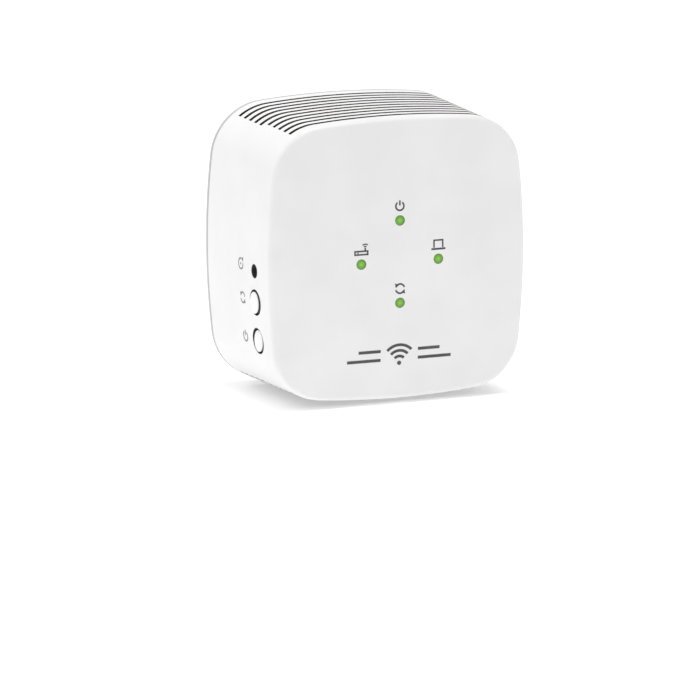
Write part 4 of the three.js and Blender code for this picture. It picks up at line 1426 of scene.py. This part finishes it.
def curved_stroke(bm, centre, radius, width, start, end):
    """A printed arc: a short edge spun about a centre, angles in degrees from the right."""
    angle = math.radians(start)
    out = Vector((math.cos(angle), 0, math.sin(angle)))
    middle = Vector((centre[0], 0, centre[1]))
    pair = [bm.verts.new(middle + out * (radius + side * width)) for side in (-0.5, 0.5)]
    sweep = math.radians(end - start)
    steps = max(6, round(abs(end - start) / 10))
    geom = [*pair, bm.edges.new(pair)]
    bmesh.ops.spin(bm, geom=geom, cent=middle, axis=-Y_AXIS, angle=sweep, steps=steps)


def dot(bm, centre, radius):
    """A filled printed dot."""
    lie = Matrix.Translation((centre[0], 0, centre[1])) @ Matrix.Rotation(math.pi / 2, 4, "X")
    bmesh.ops.create_circle(bm, cap_ends=True, segments=20, radius=radius, matrix=lie)


def arrow_head(bm, tip, angle, size):
    """A small triangle whose point is at tip, pointing at angle degrees."""
    points = []
    for turn, reach in ((0, 0), (150, size), (210, size)):
        way = math.radians(angle + turn)
        points.append((tip[0] + reach * math.cos(way), tip[1] + reach * math.sin(way)))
    bm.faces.new([bm.verts.new((x, 0, z)) for x, z in points])


def power_sign(bm, size, width):
    """An open ring with an upright bar: power."""
    curved_stroke(bm, (0, 0), size, width, 125, 415)
    stroke(bm, (0, size * 0.15), (0, size * 1.3), width)


def router_sign(bm, size, width):
    """A flat box with one aerial and two arcs: the link to the router."""
    for z in (-size, -size * 0.25):
        stroke(bm, (-size * 1.5, z), (size * 1.5, z), width)
    for x in (-size * 1.5, size * 1.5):
        stroke(bm, (x, -size - width / 2), (x, -size * 0.25 + width / 2), width)
    stroke(bm, (size * 0.9, -size * 0.25), (size * 0.9, size * 0.5), width)
    for reach in (0.45, 0.95):
        curved_stroke(bm, (size * 0.9, size * 0.35), size * reach, width * 0.8, 50, 130)
    dot(bm, (-size * 0.8, -size * 0.62), width * 0.5)


def device_sign(bm, size, width):
    """A screen over a base line: the link to a device."""
    left, right, low, high = -size * 1.05, size * 1.05, -size * 0.65, size * 1.0
    for x in (left, right):
        stroke(bm, (x, low), (x, high), width)
    stroke(bm, (left - width / 2, high), (right + width / 2, high), width)
    stroke(bm, (-size * 1.7, -size * 0.95), (size * 1.7, -size * 0.95), width * 1.2)


def pair_sign(bm, size, width):
    """Two arrows that chase each other: pair a device."""
    for start in (15, 195):
        curved_stroke(bm, (0, 0), size, width, start, start + 130)
        end = math.radians(start + 130)
        tip = (size * math.cos(end + 0.45), size * math.sin(end + 0.45))
        arrow_head(bm, tip, start + 130 + 105, width * 2.8)


def reset_sign(bm, size, width):
    """A ring that ends in an arrow, about a dot: reset."""
    curved_stroke(bm, (0, 0), size, width, 80, 370)
    arrow_head(bm, (size * 0.25, size * 1.0), -8, -width * 3)
    dot(bm, (0, 0), width * 0.7)


def wave_mark(bm, size):
    """The plain mark on the front: a signal fan between two pairs of bars."""
    dot(bm, (0, -size * 0.42), size * 0.11)
    for reach in (0.34, 0.62, 0.9):
        curved_stroke(bm, (0, -size * 0.42), size * reach, size * 0.14, 45, 135)
    for side in (-1, 1):
        for reach, z in ((1.15, 0.22), (1.75, -0.22)):
            near, far = side * size * 0.98, side * size * (0.98 + reach)
            stroke(bm, (near, size * z), (far, size * z), size * 0.15)


def printed(name, material, signs, onto):
    """Prints signs as films of ink: each is (draw, centre), and onto gives a point's place on the wall."""
    bm = bmesh.new()
    for draw, centre in signs:
        before = set(bm.verts)
        draw(bm)
        for vert in set(bm.verts) - before:
            vert.co = onto(centre, vert.co.x, vert.co.z)
    bmesh.ops.remove_doubles(bm, verts=bm.verts, dist=1e-4)
    bmesh.ops.recalc_face_normals(bm, faces=bm.faces)
    bmesh.ops.solidify(bm, geom=bm.faces, thickness=INK_THICKNESS)
    finish_piece(bm, name, material, "case")


def onto_face(centre, across, up):
    """A sign's point on the domed face."""
    x, z = centre[0] + across, centre[1] + up
    return Vector((x, face_y(x, z - CENTRE_Z) - PRINT_LIFT, z))


def onto_side(centre, across, up):
    """A sign's point on the left side, read from outside."""
    y, z = centre[0] - across, centre[1] + up
    return Vector((side_x(y, z - CENTRE_Z) - PRINT_LIFT, y, z))


def prints():
    """A sign over each light, one beside each control, and the plain mark at the foot of the face."""
    rise = 3.5
    face_signs = {
        "top": lambda bm: power_sign(bm, 1.05, 0.42),
        "left": lambda bm: router_sign(bm, 1.1, 0.38),
        "right": lambda bm: device_sign(bm, 1.1, 0.38),
        "bottom": lambda bm: pair_sign(bm, 1.15, 0.42),
    }
    signs = [(face_signs[side], (x, z + rise)) for side, (x, z) in LED_POINTS.items()]
    printed("face_icons", grey_print_ink, signs, onto_face)
    printed("front_mark", grey_print_ink, [(lambda bm: wave_mark(bm, 5), (0, -10.8))], onto_face)
    side_signs = [
        (lambda bm: reset_sign(bm, 1.3, 0.4), (-23.4, RESET_Z + 0.6)),
        (lambda bm: pair_sign(bm, 1.3, 0.4), (-24, WPS_Z)),
        (lambda bm: power_sign(bm, 1.2, 0.4), (-23.9, POWER_Z - 0.1)),
    ]
    printed("side_icons", light_print_ink, side_signs, onto_side)


# ---- camera, light and floor ----


def set_camera():
    """A long lens from the object's left and a little above."""
    camera = bpy.data.objects.new("camera", bpy.data.cameras.new("camera"))
    bpy.context.scene.collection.objects.link(camera)
    bpy.context.scene.camera = camera
    camera.location = Vector((-510.1, -1236.2, 250.0)) * MM
    azimuth, elevation, roll = (math.radians(a) for a in (-22.589, 11.303, -0.102))
    level = math.cos(elevation)
    ahead = -Vector((math.sin(azimuth) * level, -math.cos(azimuth) * level, math.sin(elevation)))
    camera.rotation_mode = "QUATERNION"
    turn = ahead.to_track_quat("-Z", "Y").to_matrix() @ Matrix.Rotation(roll, 3, "Z")
    camera.rotation_quaternion = turn.to_quaternion()
    camera.data.sensor_width = 36
    camera.data.lens = 281.4
    camera.data.clip_start = 0.05
    camera.data.clip_end = 20


def area_light(name, place, target, size, power):
    """A square white softbox at a place, in metres, turned to a target."""
    light = bpy.data.lights.new(name, "AREA")
    light.size = size
    light.energy = power
    lamp = bpy.data.objects.new(name, light)
    bpy.context.scene.collection.objects.link(lamp)
    lamp.location = place
    lamp.rotation_mode = "QUATERNION"
    lamp.rotation_quaternion = (Vector(target) - Vector(place)).to_track_quat("-Z", "Y")


def set_stage():
    """A painted studio floor that curves up into a wall behind: an even pale sweep."""
    bend_r, bend_steps = 0.6, 9
    wall_y, wall_top = 2.2, 3.0
    front_y, half_width = -3.0, 4
    bend = arc((wall_y - bend_r, bend_r), bend_r, -math.pi / 2, 0, bend_steps)
    profile = [(front_y, 0.0), *bend, (wall_y, wall_top)]
    bm = bmesh.new()
    verts = [bm.verts.new((-half_width, y, z + cad_low.z)) for y, z in profile]
    edges = [bm.edges.new(pair) for pair in zip(verts, verts[1:])]
    made = bmesh.ops.extrude_edge_only(bm, edges=edges)["geom"]
    bmesh.ops.translate(bm, verts=moved_part(made, bmesh.types.BMVert), vec=(2 * half_width, 0, 0))
    mesh = bpy.data.meshes.new("studio_floor")
    bm.to_mesh(mesh)
    bm.free()
    mesh.shade_smooth()
    floor = bpy.data.objects.new("studio_floor", mesh)
    bpy.context.scene.collection.objects.link(floor)
    # Matt white studio paint, lit a little from within so that the sweep stays even and nearly white.
    material, tree, shader, place = new_material("matt_white_paint", Roughness=0.8, Emission_Strength=0.27)
    tree.links.new(two_tone(tree, noise(tree, place, 300), "f6f6f6", "f8f8f8"), shader.inputs["Base Color"])
    shader.inputs["Emission Color"].default_value = linear("ffffff")
    mesh.materials.append(material)


def set_light():
    """Soft white light all round, with three softboxes: the side and the top are the brighter walls."""
    world = bpy.data.worlds.new("studio")
    bpy.context.scene.world = world
    world.use_nodes = True
    background = world.node_tree.nodes["Background"]
    background.inputs["Color"].default_value = linear("ffffff")
    background.inputs["Strength"].default_value = 0.405
    area_light("side_softbox", (-1.2, 0.1, 1.1), (0, 0, 0.01), 1.0, 5.8)
    area_light("top_softbox", (0.1, -0.2, 1.6), (0, 0, 0.04), 0.8, 13.5)
    area_light("front_fill", (0.9, -1.5, 0.5), (0, 0, 0.01), 1.2, 1.7)
    bpy.context.scene.view_settings.view_transform = "Standard"


front_housing()
housing_inside()
antenna_holders()
rear_cover()
rating_label()
case_screws()
blade_carrier()
blade("left", -BLADE_X)
blade("right", BLADE_X)
contact_strips()
push_button("wps_button", WPS_Z, 0.38, 0.1)
push_button("power_button", POWER_Z, 0.02, 0.06)
switches()
light_guide()
status_lamps()
boards()
antennas()
transformer()
power_parts()
prints()
set_camera()
set_stage()
set_light()
